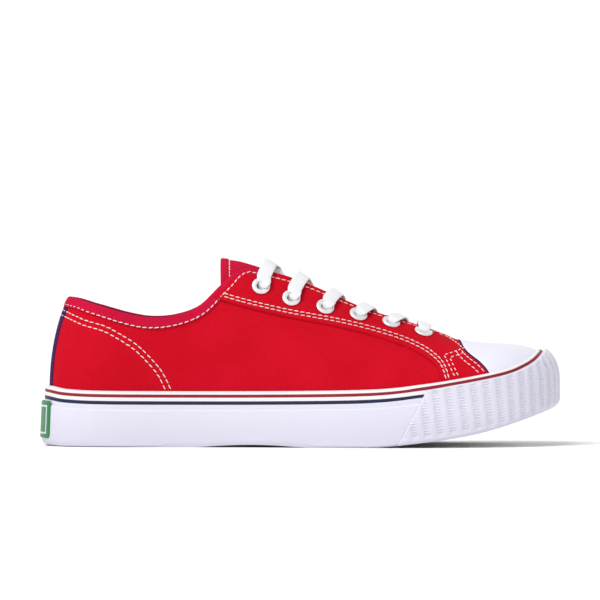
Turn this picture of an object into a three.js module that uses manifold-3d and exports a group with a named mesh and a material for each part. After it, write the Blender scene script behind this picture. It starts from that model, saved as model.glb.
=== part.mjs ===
// Low canvas sneaker, right shoe, empty and standing on its sole.
// Millimetres; x runs from the heel to the toe, +y is the inner (medial) side, +z is up.

import * as THREE from 'three';
import { mergeVertices } from 'three/addons/utils/BufferGeometryUtils.js';
import Module from 'manifold-3d';

const wasm = await Module();
wasm.setup();

// Overall sizes of the shoe
const LENGTH = 295;
const BALL_WIDTH = 106;
const HEEL_WIDTH = 75;
const HEEL_HEIGHT = 84.5;
const INSTEP_HEIGHT = 106;
const TOE_HEIGHT = 55;
const TOE_SWING = 4;
const TOE_SPRING = 20;
const ARCH_RISE = 1.1;
const FOXING_HEIGHT = 32;

// Walls and thicknesses
const UPPER_WALL = 1.6;
const OVERLAY = 1.0;
const STAY_WALL = 0.6;
const CAP_WALL = 1.5;
const BINDING_WALL = 0.8;
const TAPE_WALL = 2.8;
const BAND_WALL = 3.6;
const BUMPER_WALL = 1.3;
const RIB_RISE = 0.8;
const LABEL_WALL = 0.9;
const OUTSOLE_HEEL = 11;
const OUTSOLE_FORE = 7;
const INSOLE_WALL = 5;
const TONGUE_WALL = 2;
const GAP = 0.3;

// Bands, borders and openings
const STEP_DROP = 10.8;
const STRIPE_BAND = 3.2;
const BINDING_WIDTH = 6.4;
const STAY_WIDTH = 20;
const LABEL_WIDTH = 38;
const LABEL_HEIGHT = 21;
const LABEL_BASE = 4.5;
const LABEL_CORNER = 2;
const RIB_PITCH = 7;
const RIB_GROOVE = 3.2;
const THROAT_FRONT = 7;
const THROAT_BACK = 11;
const SOLE_FLARE = 1.2;
const EDGE_ROUND = 3.5;
const SPINE_SOFT = 20;

// Eyelets and lace
const EYELETS = 6;
const EYELET_RADIUS = 5.2;
const EYELET_INSET = 10;
const EYELET_BORE = 2.5;
const EYELET_BARREL = 3.1;
const EYELET_FLANGE = 0.8;
const LACE_WIDTH = 8;
const LACE_WALL = 1.1;
const LACE_ROOM = 0.5;
const LACE_SAG = 1.5;
const SEAT_ROOM = 0.45;
const TONGUE_HALF = 25;
const TONGUE_TAPER = 0.78;
const TONGUE_ROOM = 2.4;
const TONGUE_SAG = 1.5;

// Ends of the canvas last line, inside the rubber
const HEEL_END = LABEL_WALL + GAP + BAND_WALL + GAP + SOLE_FLARE;
const TOE_END = LENGTH - TAPE_WALL - BUMPER_WALL - RIB_RISE - 2 * GAP;
const LAST_BALL = BALL_WIDTH - 2 * (BAND_WALL + GAP + SOLE_FLARE);
const LAST_HEEL = HEEL_WIDTH - 2 * (BAND_WALL + GAP + SOLE_FLARE);

// Mesh resolution
const STATIONS = 25;
const CROWN_ROWS = 6;
const EYELET_SIDES = 8;
const HOLE_SIDES = 8;

// Plan of the last: station as a share of its length, half widths as shares of the local width,
// and how far the local width is the heel width (1) or the ball width (0)
const PLAN = [
  { at: 0, lateral: 0, medial: 0, heel: 1 },
  { at: 0.04, lateral: 0.375, medial: 0.375, heel: 1 },
  { at: 0.12, lateral: 0.492, medial: 0.492, heel: 1 },
  { at: 0.2, lateral: 0.503, medial: 0.495, heel: 1 },
  { at: 0.32, lateral: 0.476, medial: 0.444, heel: 0.8 },
  { at: 0.45, lateral: 0.452, medial: 0.39, heel: 0.35 },
  { at: 0.6, lateral: 0.478, medial: 0.427, heel: 0 },
  { at: 0.7, lateral: 0.508, medial: 0.48, heel: 0 },
  { at: 0.78, lateral: 0.506, medial: 0.483, heel: 0 },
  { at: 0.86, lateral: 0.47, medial: 0.45, heel: 0 },
  { at: 0.93, lateral: 0.385, medial: 0.368, heel: 0 },
  { at: 0.975, lateral: 0.254, medial: 0.243, heel: 0 },
  { at: 1, lateral: 0, medial: 0, heel: 0 },
];

// Sections of the last: ridge height from the toe height (0) to the instep height (1), height of the
// straight side wall as a share of the instep height, and roundness of the crown above it
const SECTIONS = [
  { at: 0, ridge: 0.94, wall: 0.3, round: 2 },
  { at: 0.2, ridge: 1.0, wall: 0.31, round: 2 },
  { at: 0.35, ridge: 1.1, wall: 0.32, round: 1.75 },
  { at: 0.424, ridge: 1.0, wall: 0.32, round: 1.62 },
  { at: 0.483, ridge: 0.87, wall: 0.32, round: 1.6 },
  { at: 0.61, ridge: 0.492, wall: 0.315, round: 1.58 },
  { at: 0.673, ridge: 0.35, wall: 0.31, round: 1.6 },
  { at: 0.736, ridge: 0.225, wall: 0.31, round: 1.7 },
  { at: 0.81, ridge: 0.05, wall: 0.305, round: 2.2 },
  { at: 0.87, ridge: 0, wall: 0.305, round: 2.9 },
  { at: 1, ridge: 0.005, wall: 0.31, round: 3.5 },
];

// Underside of the sole: rise above the floor as shares of the toe spring and of the arch rise
const UNDERSIDE = [
  { at: 0, spring: 0, arch: 1 },
  { at: 0.05, spring: 0, arch: 0 },
  { at: 0.3, spring: 0, arch: 0 },
  { at: 0.36, spring: 0, arch: 1 },
  { at: 0.46, spring: 0, arch: 1 },
  { at: 0.52, spring: 0, arch: 0 },
  { at: 0.64, spring: 0, arch: 0 },
  { at: 0.69, spring: 0.07, arch: 0 },
  { at: 0.77, spring: 0.22, arch: 0 },
  { at: 0.845, spring: 0.43, arch: 0 },
  { at: 0.92, spring: 0.76, arch: 0 },
  { at: 1, spring: 1.15, arch: 0 },
];

// Lower edge of the rubber: its rounding and its side flare as shares of the named rounding and flare
const EDGE = [
  { at: 0, tuck: 1, flare: 1 },
  { at: 0.15, tuck: 0.46, flare: 1 },
  { at: 0.7, tuck: 0.46, flare: 0.8 },
  { at: 0.9, tuck: 1, flare: 0.1 },
  { at: 1, tuck: 1.86, flare: 0 },
];

// Collar line seen from the side: each height is a share of the heel height plus one of the instep height
const COLLAR = [
  { at: -0.05, heel: 1, instep: 0 },
  { at: 0.053, heel: 1, instep: 0 },
  { at: 0.11, heel: 0.949, instep: 0 },
  { at: 0.165, heel: 0.894, instep: 0 },
  { at: 0.212, heel: 0.865, instep: 0 },
  { at: 0.26, heel: 0.877, instep: 0 },
  { at: 0.305, heel: 0.467, instep: 0.373 },
  { at: 0.342, heel: 0, instep: 0.843 },
  { at: 0.375, heel: 0, instep: 0.925 },
  { at: 0.405, heel: 0, instep: 0.949 },
  { at: 0.425, heel: 0, instep: 0.957 },
  { at: 0.43, heel: 0, instep: 1.196 },
];

// Top edge of the foxing seen from the side, heights as shares of the foxing height
const FOXING_TOP = [
  { at: -0.05, up: 1.085 },
  { at: 0.02, up: 1.065 },
  { at: 0.06, up: 1.01 },
  { at: 0.15, up: 0.985 },
  { at: 0.42, up: 0.985 },
  { at: 0.63, up: 1.02 },
  { at: 0.73, up: 1.106 },
  { at: 0.807, up: 1.21 },
  { at: 0.884, up: 1.353 },
  { at: 0.922, up: 1.475 },
  { at: 0.943, up: 1.58 },
  { at: 0.957, up: 1.7 },
  { at: 0.967, up: 1.9 },
];

// Lower edge of the eyestay seen from the side, heights as shares of the instep height
const EYESTAY_EDGE = [
  { at: 0.33, up: 0.79 },
  { at: 0.388, up: 0.742 },
  { at: 0.47, up: 0.687 },
  { at: 0.58, up: 0.627 },
  { at: 0.66, up: 0.568 },
  { at: 0.71, up: 0.518 },
  { at: 0.745, up: 0.462 },
  { at: 0.765, up: 0.39 },
  { at: 0.778, up: 0.2 },
];

// Rear edge of the toe cap seen from the side, heights as shares of the toe height
const CAP_EDGE = [
  { at: 0.79, up: 1.3 },
  { at: 0.806, up: 1.05 },
  { at: 0.818, up: 0.95 },
  { at: 0.843, up: 0.845 },
  { at: 0.859, up: 0.735 },
  { at: 0.875, up: 0.5 },
];

// Slanted rear edge of the toe bumper, heights as shares of the foxing height
const BUMPER_EDGE = [
  { at: 0.6635, up: -0.3 },
  { at: 0.735, up: 0.9 },
  { at: 0.765, up: 1.6 },
];

// Eyelet centres: station, and distance from the throat's edge as a share of the named inset
const EYELET_ROW = [
  { at: 0.425, inset: 0.81 },
  { at: 0.483, inset: 1.1 },
  { at: 0.547, inset: 1.165 },
  { at: 0.61, inset: 0.98 },
  { at: 0.673, inset: 0.86 },
  { at: 0.735, inset: 1.095 },
];

// Throat: station of its front end and of the point where it opens into the collar
const THROAT_START = 0.785;
const THROAT_END = 0.42;

// Tongue: stations of its standing end and of its front end, and where it presses up under the vamp
const TONGUE_BACK = 0.349;
const TONGUE_FRONT = 0.815;
const PRESS_START = 0.72;
const PRESS_END = 0.79;

// Front end of the last's middle line, behind the toe by a share of the ball width
const SPINE_FRONT = 0.43;

// Share of the way back along the outline that the bumper's ribs are laid out over
const BUMPER_REACH = 0.4;

// Natural cubic spline through one named column of a table, as a function of another
function spline(rows, along, column) {
  const x = rows.map((row) => row[along]);
  const y = rows.map((row) => row[column]);
  const last = x.length - 1;
  const bend = new Array(x.length).fill(0);
  const carry = new Array(x.length).fill(0);
  for (let i = 1; i < last; i += 1) {
    const share = (x[i] - x[i - 1]) / (x[i + 1] - x[i - 1]);
    const pivot = share * bend[i - 1] + 2;
    const jump = (y[i + 1] - y[i]) / (x[i + 1] - x[i]) - (y[i] - y[i - 1]) / (x[i] - x[i - 1]);
    bend[i] = (share - 1) / pivot;
    carry[i] = ((6 * jump) / (x[i + 1] - x[i - 1]) - share * carry[i - 1]) / pivot;
  }
  const curve = new Array(x.length).fill(0);
  for (let i = last - 1; i > 0; i -= 1) curve[i] = bend[i] * curve[i + 1] + carry[i];
  return (value) => {
    const v = Math.min(Math.max(value, x[0]), x[last]);
    let i = 0;
    while (i < last - 1 && v > x[i + 1]) i += 1;
    const step = x[i + 1] - x[i];
    const a = (x[i + 1] - v) / step;
    const b = 1 - a;
    const cubic = (a ** 3 - a) * curve[i] + (b ** 3 - b) * curve[i + 1];
    return a * y[i] + b * y[i + 1] + (cubic * step * step) / 6;
  };
}

const mix = THREE.MathUtils.lerp;
const smooth = THREE.MathUtils.smoothstep;

// A station s runs from 0 at the back of the heel to 1 at the tip of the toe, and its x follows a
// cosine, which makes both ends of the plan round
const planRows = PLAN.map((row) => ({ ...row, s: Math.acos(1 - 2 * row.at) / Math.PI }));
const lateralShare = spline(planRows, 's', 'lateral');
const medialShare = spline(planRows, 's', 'medial');
const heelShare = spline(planRows, 's', 'heel');
const ridgeShare = spline(SECTIONS, 'at', 'ridge');
const wallShare = spline(SECTIONS, 'at', 'wall');
const roundShare = spline(SECTIONS, 'at', 'round');
const springShare = spline(UNDERSIDE, 'at', 'spring');
const archShare = spline(UNDERSIDE, 'at', 'arch');
const tuckShare = spline(EDGE, 'at', 'tuck');
const flareShare = spline(EDGE, 'at', 'flare');

const stationX = (s) => HEEL_END + ((TOE_END - HEEL_END) * (1 - Math.cos(Math.PI * s))) / 2;
const axisY = (s) => TOE_SWING * smooth(s, 0.55, 1);
const throatAxis = axisY(0.7);

// Point of the last's outline; side is -1 for lateral and +1 for medial
function outline(s, side) {
  const width = mix(LAST_BALL, LAST_HEEL, THREE.MathUtils.clamp(heelShare(s), 0, 1));
  const half = (side < 0 ? lateralShare(s) : medialShare(s)) * width;
  return new THREE.Vector2(stationX(s), axisY(s) + side * half);
}

// Outward direction of the outline
function outward(s, side) {
  if (s <= 0) return new THREE.Vector2(-1, 0);
  if (s >= 1) return new THREE.Vector2(1, 0);
  const step = 0.004;
  const run = outline(Math.min(s + step, 1), side).sub(outline(Math.max(s - step, 0), side));
  return new THREE.Vector2(-side * run.y, side * run.x).normalize();
}

// Rise of the sole's underside above the floor, flat at heel and forefoot
function underside(x) {
  const share = x / LENGTH;
  const spring = share > 0.64 ? Math.max(springShare(share), 0) : 0;
  const inArch = share > 0.3 && share < 0.52;
  const arch = inArch || share < 0.05 ? Math.max(archShare(share), 0) : 0;
  return TOE_SPRING * spring + ARCH_RISE * arch;
}

// Middle line of the last: it stops short of both ends, so the sections fan round heel and toe
function spinePoint(s) {
  const x = stationX(s);
  const rear = HEEL_END + LAST_HEEL / 2;
  const front = TOE_END - LAST_BALL * SPINE_FRONT;
  const fromRear = (x + rear + Math.hypot(x - rear, SPINE_SOFT)) / 2;
  const clamped = (fromRear + front - Math.hypot(fromRear - front, SPINE_SOFT)) / 2;
  return new THREE.Vector2(clamped, axisY(s));
}

// Crown section at a station: a superellipse quarter from the side wall up to the ridge;
// turn runs from 0 on the wall to 1 on the ridge
function crown(s, side, turn) {
  const foot = outline(s, side);
  const spine = spinePoint(s);
  const share = spine.x / LENGTH;
  const edge = foot.x / LENGTH;
  const wall = INSTEP_HEIGHT * wallShare(edge);
  const ridge = mix(TOE_HEIGHT, INSTEP_HEIGHT, ridgeShare(share));
  const power = 2 / roundShare(edge);
  const angle = (turn * Math.PI) / 2;
  const reach = Math.max(Math.cos(angle), 0) ** power;
  const rise = Math.sin(angle) ** power;
  const flat = spine.clone().lerp(foot, turn >= 1 ? 0 : reach);
  return new THREE.Vector3(flat.x, flat.y, mix(wall, ridge, turn >= 1 ? 1 : rise));
}

// Rows of the last from the sole edge to the ridge: two at the lower edge, then the crown
const EDGE_ROWS = 2;
const ROWS = EDGE_ROWS + CROWN_ROWS + 1;

// Point of the rubber's lower edge: angle turns from 0 underneath to a right angle on the side,
// and lift stands it off the last
function edgePoint(s, side, angle, lift, tucked) {
  const foot = outline(s, side);
  const away = outward(s, side);
  const share = foot.x / LENGTH;
  const tuck = EDGE_ROUND * tuckShare(share);
  const inward = (tucked ? tuck * (1 - Math.sin(angle)) : 0) - SOLE_FLARE * flareShare(share);
  const flat = foot.clone().addScaledVector(away, lift - inward);
  return new THREE.Vector3(flat.x, flat.y, underside(foot.x) + tuck * (1 - Math.cos(angle)));
}

function lastPoint(i, side, row, tucked) {
  const s = i / STATIONS;
  if (row >= EDGE_ROWS) return crown(s, side, (row - EDGE_ROWS) / CROWN_ROWS);
  return edgePoint(s, side, ((row / (EDGE_ROWS - 1)) * Math.PI) / 2, 0, tucked);
}

// Index of a vertex; both halves share the heel line, the toe line and the ridge
const ringSlots = 2 * STATIONS;
function slotIndex(i, side, row) {
  const ring = side < 0 || i === 0 || i === STATIONS ? i : ringSlots - i;
  if (row === ROWS - 1) return (ROWS - 1) * ringSlots + i;
  return row * ringSlots + ring;
}

const faces = [];
for (const side of [-1, 1]) {
  for (let i = 0; i < STATIONS; i += 1) {
    for (let row = -1; row < ROWS - 1; row += 1) {
      const low = Math.max(row, 0);
      const a = slotIndex(i, side, low);
      const b = slotIndex(i + 1, side, low);
      const c = slotIndex(i + 1, row < 0 ? -side : side, row < 0 ? 0 : row + 1);
      const d = slotIndex(i, row < 0 ? -side : side, row < 0 ? 0 : row + 1);
      if (row < 0 && side > 0) continue;
      const turned = row < 0 ? [[a, c, b], [a, d, c]] : [[a, b, c], [a, c, d]];
      for (const tri of turned) {
        const face = side < 0 ? tri : [tri[0], tri[2], tri[1]];
        if (new Set(face).size === 3) faces.push(...face);
      }
    }
  }
}

function closedGeometry(positions, index) {
  const geometry = new THREE.BufferGeometry();
  geometry.setAttribute('position', new THREE.Float32BufferAttribute(positions, 3));
  geometry.setIndex(index);
  return geometry;
}

// Vertices of the last for every slot, and the direction in which each one moves out
function lastGrid(tucked) {
  const points = [];
  for (let row = 0; row < ROWS; row += 1) {
    const count = row === ROWS - 1 ? STATIONS + 1 : ringSlots;
    for (let k = 0; k < count; k += 1) {
      const medial = k > STATIONS;
      points.push(lastPoint(medial ? ringSlots - k : k, medial ? 1 : -1, row, tucked));
    }
  }
  return points;
}

const bareGrid = lastGrid(false);
const tuckedGrid = lastGrid(true);
const bareMesh = closedGeometry(bareGrid.flatMap((p) => p.toArray()), faces);
bareMesh.computeVertexNormals();
const moveOut = bareGrid.map((point, k) => {
  const row = Math.floor(k / ringSlots);
  if (row <= EDGE_ROWS) {
    const medial = k % ringSlots > STATIONS;
    const i = medial ? ringSlots - (k % ringSlots) : k % ringSlots;
    const away = outward(i / STATIONS, medial ? 1 : -1);
    return new THREE.Vector3(away.x, away.y, 0);
  }
  return new THREE.Vector3().fromBufferAttribute(bareMesh.getAttribute('normal'), k);
});

// A closed manifold from a three.js geometry
function solidOf(geometry) {
  const bare = geometry.clone();
  bare.deleteAttribute('normal');
  bare.deleteAttribute('uv');
  const merged = mergeVertices(bare, 1e-4);
  const vertProperties = new Float32Array(merged.getAttribute('position').array);
  const triVerts = new Uint32Array(merged.getIndex().array);
  return new wasm.Manifold(new wasm.Mesh({ numProp: 3, vertProperties, triVerts }));
}

// The last grown by an offset, closed underneath; drop carries its lowest ring below the sole
function last(offset, drop = 0, tucked = false) {
  const grid = tucked ? tuckedGrid : bareGrid;
  const positions = [];
  grid.forEach((point, k) => {
    const moved = point.clone().addScaledVector(moveOut[k], offset);
    if (k < ringSlots) moved.z -= drop;
    positions.push(moved.x, moved.y, moved.z);
  });
  return solidOf(closedGeometry(positions, faces));
}

// Points of a line seen from the side, through the rows of a table
function sideLine(rows, height, steps) {
  const points = rows.map((row) => new THREE.Vector2(row.at * LENGTH, row.up * height));
  return new THREE.SplineCurve(points).getPoints(steps);
}

// The same line moved sideways by a distance, to its right as it runs
function shifted(points, distance) {
  return points.map((point, i) => {
    const before = points[Math.max(i - 1, 0)];
    const after = points[Math.min(i + 1, points.length - 1)];
    const run = after.clone().sub(before).normalize();
    return new THREE.Vector2(point.x + run.y * distance, point.y - run.x * distance);
  });
}

const FAR = LENGTH;

// Prism across the shoe from an outline in x and z
function sidePrism(points, from = -FAR, to = FAR) {
  const options = { depth: to - from, bevelEnabled: false };
  const geometry = new THREE.ExtrudeGeometry(new THREE.Shape(points), options);
  geometry.rotateX(Math.PI / 2);
  geometry.translate(0, to, 0);
  return solidOf(geometry);
}

// Upright prism from a shape in x and y
function planPrism(shape) {
  const options = { depth: 2 * FAR, bevelEnabled: false, curveSegments: 8 };
  const geometry = new THREE.ExtrudeGeometry(shape, options);
  geometry.translate(0, 0, -FAR);
  return solidOf(geometry);
}

const v2 = (x, z) => new THREE.Vector2(x, z);
const under = (line) => sidePrism([...line, v2(line[line.length - 1].x, -FAR), v2(line[0].x, -FAR)]);
const over = (line) => sidePrism([...line, v2(line[line.length - 1].x, FAR), v2(line[0].x, FAR)]);
const ahead = (line) => sidePrism([...line, v2(2 * FAR, line[line.length - 1].y), v2(2 * FAR, line[0].y)]);

// Everything below the top edge of the foxing, with the whole front of the toe
function belowFoxing(distance) {
  const line = shifted(sideLine(FOXING_TOP, FOXING_HEIGHT, 18), distance);
  const tip = line[line.length - 1];
  return sidePrism([v2(-FAR, line[0].y), ...line, v2(2 * FAR, tip.y), v2(2 * FAR, -FAR), v2(-FAR, -FAR)]);
}

// Levels inside the shoe, following the underside
const outsoleTop = (x) => underside(x) + mix(OUTSOLE_HEEL, OUTSOLE_FORE, smooth(x / LENGTH, 0.25, 0.65));

function levelLine(rise) {
  const points = [];
  const steps = 8;
  for (let k = 0; k <= steps; k += 1) {
    const x = (k / steps) * LENGTH;
    points.push(v2(x, outsoleTop(x) + rise));
  }
  return [v2(-FAR, points[0].y), ...points, v2(2 * FAR, points[steps].y)];
}

// Throat between the facings, round at its front end and open into the collar
function throatHalf(x) {
  return mix(THROAT_BACK, THROAT_FRONT, smooth(x / LENGTH, THROAT_END, THROAT_START));
}

const throatTip = THROAT_START * LENGTH - THROAT_FRONT;
const throatMouth = THROAT_END * LENGTH;

function throatShape() {
  const shape = new THREE.Shape();
  const front = throatTip;
  const back = throatMouth;
  const inCollar = back - HEEL_WIDTH / 2;
  const steps = 6;
  shape.moveTo(inCollar, -THROAT_BACK);
  shape.lineTo(back, -THROAT_BACK);
  for (let k = 1; k < steps; k += 1) {
    const x = mix(back, front, k / steps);
    shape.lineTo(x, throatAxis * (k / steps) - throatHalf(x));
  }
  shape.absarc(front, throatAxis, THROAT_FRONT, -Math.PI / 2, Math.PI / 2, false);
  for (let k = steps - 1; k > 0; k -= 1) {
    const x = mix(back, front, k / steps);
    shape.lineTo(x, throatAxis * (k / steps) + throatHalf(x));
  }
  shape.lineTo(back, THROAT_BACK);
  shape.lineTo(inCollar, THROAT_BACK);
  return shape;
}

// Spot on the last above a given x and y: the point of the crown and its outward direction
function spot(x, y, lift = 0) {
  const side = y < throatAxis * smooth(x / LENGTH, 0.4, 0.8) ? -1 : 1;
  const reachAt = (s) => {
    const spine = spinePoint(s);
    const foot = outline(s, side);
    return THREE.MathUtils.clamp((y - spine.y) / (foot.y - spine.y), 0, 1);
  };
  let low = 0;
  let high = 1;
  for (let k = 0; k < 40; k += 1) {
    const s = (low + high) / 2;
    const reach = reachAt(s);
    const there = mix(spinePoint(s).x, outline(s, side).x, reach);
    if (there < x) low = s;
    else high = s;
  }
  const s = (low + high) / 2;
  const turnAt = (value) => {
    const power = 2 / roundShare(stationX(value) / LENGTH);
    return (Math.acos(reachAt(value) ** (1 / power)) * 2) / Math.PI;
  };
  const turn = turnAt(s);
  const point = crown(s, side, turn);
  const step = 0.01;
  const alongS = crown(s + step, side, turn).sub(crown(s - step, side, turn));
  const higher = crown(s, side, Math.min(turn + step, 0.999));
  const alongTurn = higher.sub(crown(s, side, Math.max(turn - step, 0)));
  const normal = alongS.cross(alongTurn).normalize();
  if (normal.z < 0) normal.negate();
  return { point: point.addScaledVector(normal, lift), normal };
}

// Closed sheet between two grids of points with the same rows and columns
function sheetSolid(outer, inner) {
  const rows = outer.length;
  const columns = outer[0].length;
  const positions = [...outer.flat(), ...inner.flat()].flatMap((p) => p.toArray());
  const half = rows * columns;
  const index = [];
  const quad = (a, b, c, d) => index.push(a, b, c, a, c, d);
  for (let r = 0; r < rows - 1; r += 1) {
    for (let c = 0; c < columns - 1; c += 1) {
      const a = r * columns + c;
      quad(a, a + 1, a + columns + 1, a + columns);
      quad(half + a, half + a + columns, half + a + columns + 1, half + a + 1);
    }
  }
  for (let r = 0; r < rows - 1; r += 1) {
    const a = r * columns;
    const b = a + columns - 1;
    quad(a + columns, half + a + columns, half + a, a);
    quad(b, half + b, half + b + columns, b + columns);
  }
  for (let c = 0; c < columns - 1; c += 1) {
    const b = (rows - 1) * columns + c;
    quad(c, half + c, half + c + 1, c + 1);
    quad(b + 1, half + b + 1, half + b, b);
  }
  const solid = solidOf(closedGeometry(positions, index));
  if (solid.volume() > 0) return solid;
  const flipped = [];
  for (let k = 0; k < index.length; k += 3) flipped.push(index[k], index[k + 2], index[k + 1]);
  return solidOf(closedGeometry(positions, flipped));
}

// Eyelet places on one side, at their inset from the edge of the throat
function eyeletSpots(side) {
  return EYELET_ROW.slice(0, EYELETS).map((row) => {
    const x = row.at * LENGTH;
    const share = THREE.MathUtils.clamp((x - throatMouth) / (throatTip - throatMouth), 0, 1);
    return spot(x, throatAxis * share + side * (throatHalf(x) + row.inset * EYELET_INSET));
  });
}

const eyelets = { lateral: eyeletSpots(-1), medial: eyeletSpots(1) };
const flangeSeat = GAP + OVERLAY + GAP + SEAT_ROOM;

function place(geometry, { point, normal }, lift) {
  const turn = new THREE.Quaternion().setFromUnitVectors(new THREE.Vector3(0, 1, 0), normal);
  geometry.applyQuaternion(turn);
  geometry.translate(...point.clone().addScaledVector(normal, lift).toArray());
  return geometry;
}

// Hole through the wall for one eyelet's barrel
function eyeletHole(where) {
  const radius = (EYELET_BARREL + GAP) / Math.cos(Math.PI / HOLE_SIDES);
  return solidOf(place(new THREE.CylinderGeometry(radius, radius, EYELET_RADIUS * 2, HOLE_SIDES), where, 0));
}

const holes = [...eyelets.lateral, ...eyelets.medial].map(eyeletHole);
const pierced = (solid) => holes.reduce((rest, hole) => rest.subtract(hole), solid);
const collarRows = COLLAR.map(({ at, heel, instep }) => ({
  at,
  up: heel * HEEL_HEIGHT + instep * INSTEP_HEIGHT,
}));
const collarLine = sideLine(collarRows, 1, 18);
const throat = planPrism(throatShape());
const capLine = sideLine(CAP_EDGE, TOE_HEIGHT, 8);
const eyestayLine = sideLine(EYESTAY_EDGE, INSTEP_HEIGHT, 11);

function collarAbove(distance) {
  const line = shifted(collarLine, distance);
  const end = line[line.length - 1];
  return sidePrism([v2(-FAR, line[0].y), ...line, v2(end.x, FAR), v2(-FAR, FAR)]);
}

const layer = (from, to) => last(to, FAR).subtract(last(from, FAR));

function makeUpper() {
  const shell = layer(-UPPER_WALL, 0);
  const open = shell.subtract(collarAbove(BINDING_WIDTH + GAP)).subtract(throat);
  return pierced(open.subtract(under(levelLine(GAP))));
}

function makeOutsole() {
  return last(0).intersect(under(levelLine(0)));
}

function makeInsole() {
  const inside = last(-UPPER_WALL - GAP, FAR);
  return inside.intersect(over(levelLine(GAP))).intersect(under(levelLine(GAP + INSOLE_WALL)));
}

function makeFoxing() {
  const tape = last(GAP + TAPE_WALL, 0, true).intersect(belowFoxing(0));
  const behind = last(GAP + BAND_WALL, 0, true).intersect(belowFoxing(STEP_DROP));
  const band = behind.subtract(ahead(shifted(sideLine(BUMPER_EDGE, FOXING_HEIGHT, 6), -GAP)));
  return tape.add(band).subtract(last(GAP, FAR));
}

// Ribbed bumper: a sheet round the toe whose outside steps between smooth ribs and grooves
function makeBumper() {
  const steps = 400;
  const sides = [];
  for (const side of [-1, 1]) {
    let run = 0;
    let before = outline(1, side);
    const columns = [];
    for (let k = 0; k <= steps; k += 1) {
      const s = 1 - (BUMPER_REACH * k) / steps;
      const here = outline(s, side);
      run += here.distanceTo(before);
      before = here;
      columns.push({ s, run });
    }
    sides.push({ side, columns });
  }
  const marks = [];
  const reach = Math.floor(sides[0].columns[steps].run / RIB_PITCH);
  for (let n = 0; n <= reach; n += 1) {
    const centre = (n + 0.5) * RIB_PITCH;
    marks.push([centre - RIB_GROOVE / 2, 1], [centre, 0], [centre + RIB_GROOVE / 2, 1]);
  }
  const column = (side, columns, distance, rise) => {
    const hit = columns.find((entry) => entry.run >= distance) || columns[steps];
    return { side, s: hit.s, rise };
  };
  const lateral = marks.map(([d, r]) => column(-1, sides[0].columns, d, r));
  const medial = marks.map(([d, r]) => column(1, sides[1].columns, d, r));
  const all = [...lateral.reverse(), { side: -1, s: 1, rise: 1 }, ...medial];
  const angles = [0, Math.PI / 5, Math.PI / 2];
  const turns = [0, 0.25, 0.6];
  const rowAt = (entry, lift, ribbed) => {
    const { side, s, rise } = entry;
    const away = outward(s, side);
    const out = lift + (ribbed ? RIB_RISE * rise : 0);
    const points = angles.map((angle) => edgePoint(s, side, angle, out, true));
    for (const turn of turns) {
      const step = 0.01;
      const up = crown(s, side, turn + step).sub(crown(s, side, Math.max(turn - step, 0))).normalize();
      const normal = new THREE.Vector3(away.x, away.y, 0);
      if (turn > 0) normal.addScaledVector(up, -normal.dot(up)).normalize();
      points.push(crown(s, side, turn).addScaledVector(normal, out));
    }
    return points;
  };
  const outer = all.map((entry) => rowAt(entry, 2 * GAP + TAPE_WALL + BUMPER_WALL, true));
  const inner = all.map((entry) => rowAt(entry, GAP, false));
  const raw = sheetSolid(outer, inner).subtract(last(2 * GAP + TAPE_WALL, FAR));
  const front = ahead(sideLine(BUMPER_EDGE, FOXING_HEIGHT, 6));
  return raw.intersect(front).intersect(belowFoxing(STRIPE_BAND));
}

function makeLabel() {
  const shape = new THREE.Shape();
  const right = LABEL_WIDTH / 2;
  const top = LABEL_BASE + LABEL_HEIGHT;
  const inset = LABEL_CORNER;
  shape.moveTo(right - inset, LABEL_BASE);
  shape.absarc(right - inset, LABEL_BASE + inset, inset, -Math.PI / 2, 0, false);
  shape.absarc(right - inset, top - inset, inset, 0, Math.PI / 2, false);
  shape.absarc(inset - right, top - inset, inset, Math.PI / 2, Math.PI, false);
  shape.absarc(inset - right, LABEL_BASE + inset, inset, Math.PI, 1.5 * Math.PI, false);
  const options = { depth: LENGTH / 4, bevelEnabled: false, curveSegments: 3 };
  const geometry = new THREE.ExtrudeGeometry(shape, options);
  geometry.rotateX(Math.PI / 2);
  geometry.rotateZ(Math.PI / 2);
  geometry.translate(-LENGTH / 20, 0, 0);
  const window = solidOf(geometry);
  const seat = last(2 * GAP + BAND_WALL, FAR, true);
  return last(2 * GAP + BAND_WALL + LABEL_WALL, 0, true).subtract(seat).intersect(window);
}

function makeCap() {
  const region = layer(GAP, GAP + CAP_WALL).intersect(ahead(capLine));
  return region.subtract(belowFoxing(-GAP));
}

function makeEyestay() {
  const end = eyestayLine[eyestayLine.length - 1];
  const corners = [v2(2 * FAR, end.y), v2(2 * FAR, FAR), v2(eyestayLine[0].x, FAR)];
  const region = sidePrism([...eyestayLine, ...corners]);
  const skin = layer(GAP, GAP + OVERLAY).intersect(region).subtract(ahead(shifted(capLine, GAP)));
  const trimmed = skin.subtract(collarAbove(BINDING_WIDTH + 2 * GAP)).subtract(throat);
  return pierced(trimmed.subtract(belowFoxing(-GAP)));
}

function makeStay() {
  const half = STAY_WIDTH / 2;
  const front = LENGTH / 9;
  const strip = sidePrism([v2(-FAR, -FAR), v2(front, -FAR), v2(front, FAR), v2(-FAR, FAR)], -half, half);
  const skin = layer(GAP, GAP + STAY_WALL).intersect(strip);
  return skin.subtract(collarAbove(BINDING_WIDTH + GAP)).subtract(belowFoxing(-GAP));
}

// Binding: the thick folded rim that edges the collar, proud of the wall on both sides
function makeBinding() {
  const thick = layer(-UPPER_WALL - BINDING_WALL, GAP + BINDING_WALL);
  return thick.subtract(collarAbove(0)).intersect(collarAbove(BINDING_WIDTH)).subtract(throat);
}

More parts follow.
